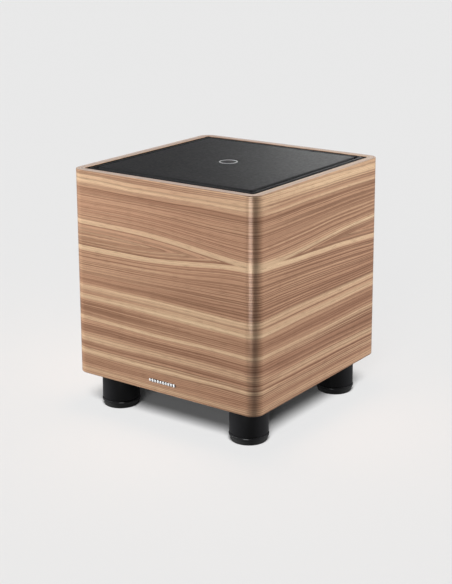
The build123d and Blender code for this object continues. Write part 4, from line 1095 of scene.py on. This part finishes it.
def studio_floor():
    mesh = bpy.data.meshes.new("floor")
    bm = bmesh.new()
    bmesh.ops.create_grid(bm, x_segments=1, y_segments=1, size=40)
    bm.to_mesh(mesh)
    bm.free()
    floor = placed("floor", mesh)
    s = Shader()
    bounced = s.minus(1.0, s.node("LightPath").outputs["Is Camera Ray"])
    tone = s.mix(bounced, (FLOOR_TONE,) * 3, (FLOOR_TONE * FLOOR_BOUNCE,) * 3)
    s.finish(colour=tone, roughness=1.0, specular=0.0)
    # seen from below it is clear, so that the underside can be looked at
    below = s.node("NewGeometry").outputs["Backfacing"]
    clear = s.node("BsdfTransparent").outputs[0]
    choice = s.node("MixShader", {0: below, 1: s.nodes["Principled BSDF"].outputs[0], 2: clear})
    s.put(s.nodes["Material Output"].inputs["Surface"], choice.outputs[0])
    s.owner.name = "floor"
    mesh.materials.append(s.owner)
    floor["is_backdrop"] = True


def studio_sky():
    """A little light from all round, and a plain backdrop."""
    world = bpy.data.worlds.new("studio")
    bpy.context.scene.world = world
    w = Shader(world)
    w.put(w.nodes["Background"].inputs["Color"], (AMBIENT,) * 3)
    backdrop = w.node("Background", {"Color": BACKDROP})
    seen = w.node("LightPath").outputs["Is Camera Ray"]
    choice = w.node("MixShader", {0: seen, 1: w.nodes["Background"].outputs[0], 2: backdrop.outputs[0]})
    w.put(w.nodes["World Output"].inputs["Surface"], choice.outputs[0])
    bpy.context.scene.view_settings.view_transform = "Standard"


def lamp(name, kind, place, target, receivers, **settings):
    """A lamp that lights only the pieces of one collection."""
    light = bpy.data.lights.new(name, kind)
    for key, value in settings.items():
        setattr(light, key, value)
    holder = placed(name, light)
    holder.location = place
    holder.rotation_euler = (Vector(place) - Vector(target)).to_track_quat("Z", "Y").to_euler()
    holder.light_linking.receiver_collection = receivers
    return holder


def collected(name, pieces):
    group = bpy.data.collections.new(name)
    for piece in pieces:
        group.objects.link(bpy.data.objects[piece])
    return group


def on_rear(piece):
    """Whether a piece sits wholly behind the cabinet's rear wall or in it."""
    return min((piece.matrix_world @ Vector(corner)).y for corner in piece.bound_box) > REAR_Y - 30 * MM


def softbox(name, place, target, width, tall, light, shine, receivers, blockers=None):
    """A flat lamp whose brightness as a light and as a reflection are set apart."""
    for part, radiance in (("light", light), ("shine", shine)):
        if radiance:
            holder = lamp(name + "_" + part, "AREA", place, target, receivers, shape="RECTANGLE", size=width,
                          size_y=tall, energy=radiance * pi * width * tall)
            holder.light_linking.blocker_collection = blockers
            holder.visible_camera = False
            holder.visible_glossy = part == "shine"
            holder.visible_diffuse = part == "light"


def towards(azimuth, elevation=0.0):
    """The direction this many degrees from the front towards the right side, and up."""
    a, e = radians(azimuth), radians(elevation)
    return Vector((sin(a) * cos(e), -cos(a) * cos(e), sin(e)))


def studio_lights():
    object_only = collected("object_only", [piece.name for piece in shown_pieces()])
    floor_only = collected("floor_only", ["floor"])
    low_parts = collected("low_parts", LOW_PARTS)
    middle = Vector((CENTRE_X, CENTRE_Y, BASE_Z + HEIGHT / 2))
    for name, azimuth, height, distance, width, tall, light, shine, only in SOFTBOXES:
        place = middle + towards(azimuth) * distance
        place.z = height
        receivers = collected(name + "_pieces", only) if only else object_only
        softbox(name, place, middle, width, tall, light, shine, receivers)
    softbox("overhead", middle + OVERHEAD_UP, middle, OVERHEAD_SIZE, OVERHEAD_SIZE, OVERHEAD, OVERHEAD,
            object_only)
    rear_pieces = [piece.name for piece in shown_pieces() if on_rear(piece)]
    for (name, offset, light, shine), pieces in ((UNDER_CARD, UNDER_PIECES), (REAR_CARD, rear_pieces)):
        softbox(name, middle + offset, middle, CARD_SIZE, CARD_SIZE, light, shine,
                collected(name + "_pieces", pieces), low_parts)
    for name, azimuth, elevation, size, strength in FLOOR_LIGHTS:
        sun = lamp(name, "SUN", middle + towards(azimuth, elevation) * 3, middle, floor_only, energy=strength,
                   angle=radians(size))
        sun.light_linking.blocker_collection = low_parts


def studio_camera():
    camera = bpy.data.cameras.new("camera")
    camera.lens, camera.sensor_width, camera.shift_y = CAMERA_LENS, 36, CAMERA_SHIFT
    holder = placed("camera", camera)
    back = towards(degrees(CAMERA_YAW), degrees(CAMERA_PITCH))
    right = Vector((cos(CAMERA_YAW), sin(CAMERA_YAW), 0))
    up = back.cross(right)
    tilted_right = right * cos(CAMERA_ROLL) + up * sin(CAMERA_ROLL)
    tilted_up = up * cos(CAMERA_ROLL) - right * sin(CAMERA_ROLL)
    turned_to = Matrix((tilted_right, tilted_up, back)).transposed().to_4x4()
    place = Vector((CENTRE_X, CENTRE_Y, BASE_Z)) + CAMERA_PLACE * WIDTH
    holder.matrix_world = Matrix.Translation(place) @ turned_to
    bpy.context.scene.camera = holder


def dress_nodes():
    """Gives each CAD node the material of its slot in the record."""
    for part in frame["record"]["subparts"]:
        mesh = nodes[part["node"]].data
        slot = "phono_insulator" if part["node"] == "rca_insulators" else part["material_slot"]
        mesh.materials.clear()
        mesh.materials.append(MATERIALS[slot])


studio_camera()
studio_floor()
studio_sky()
dress_nodes()
cabinet_skin()
padded_panel()
padded_border()
badge()
feet()
woofer()
wires()
wadding_sheets()
studio_lights()
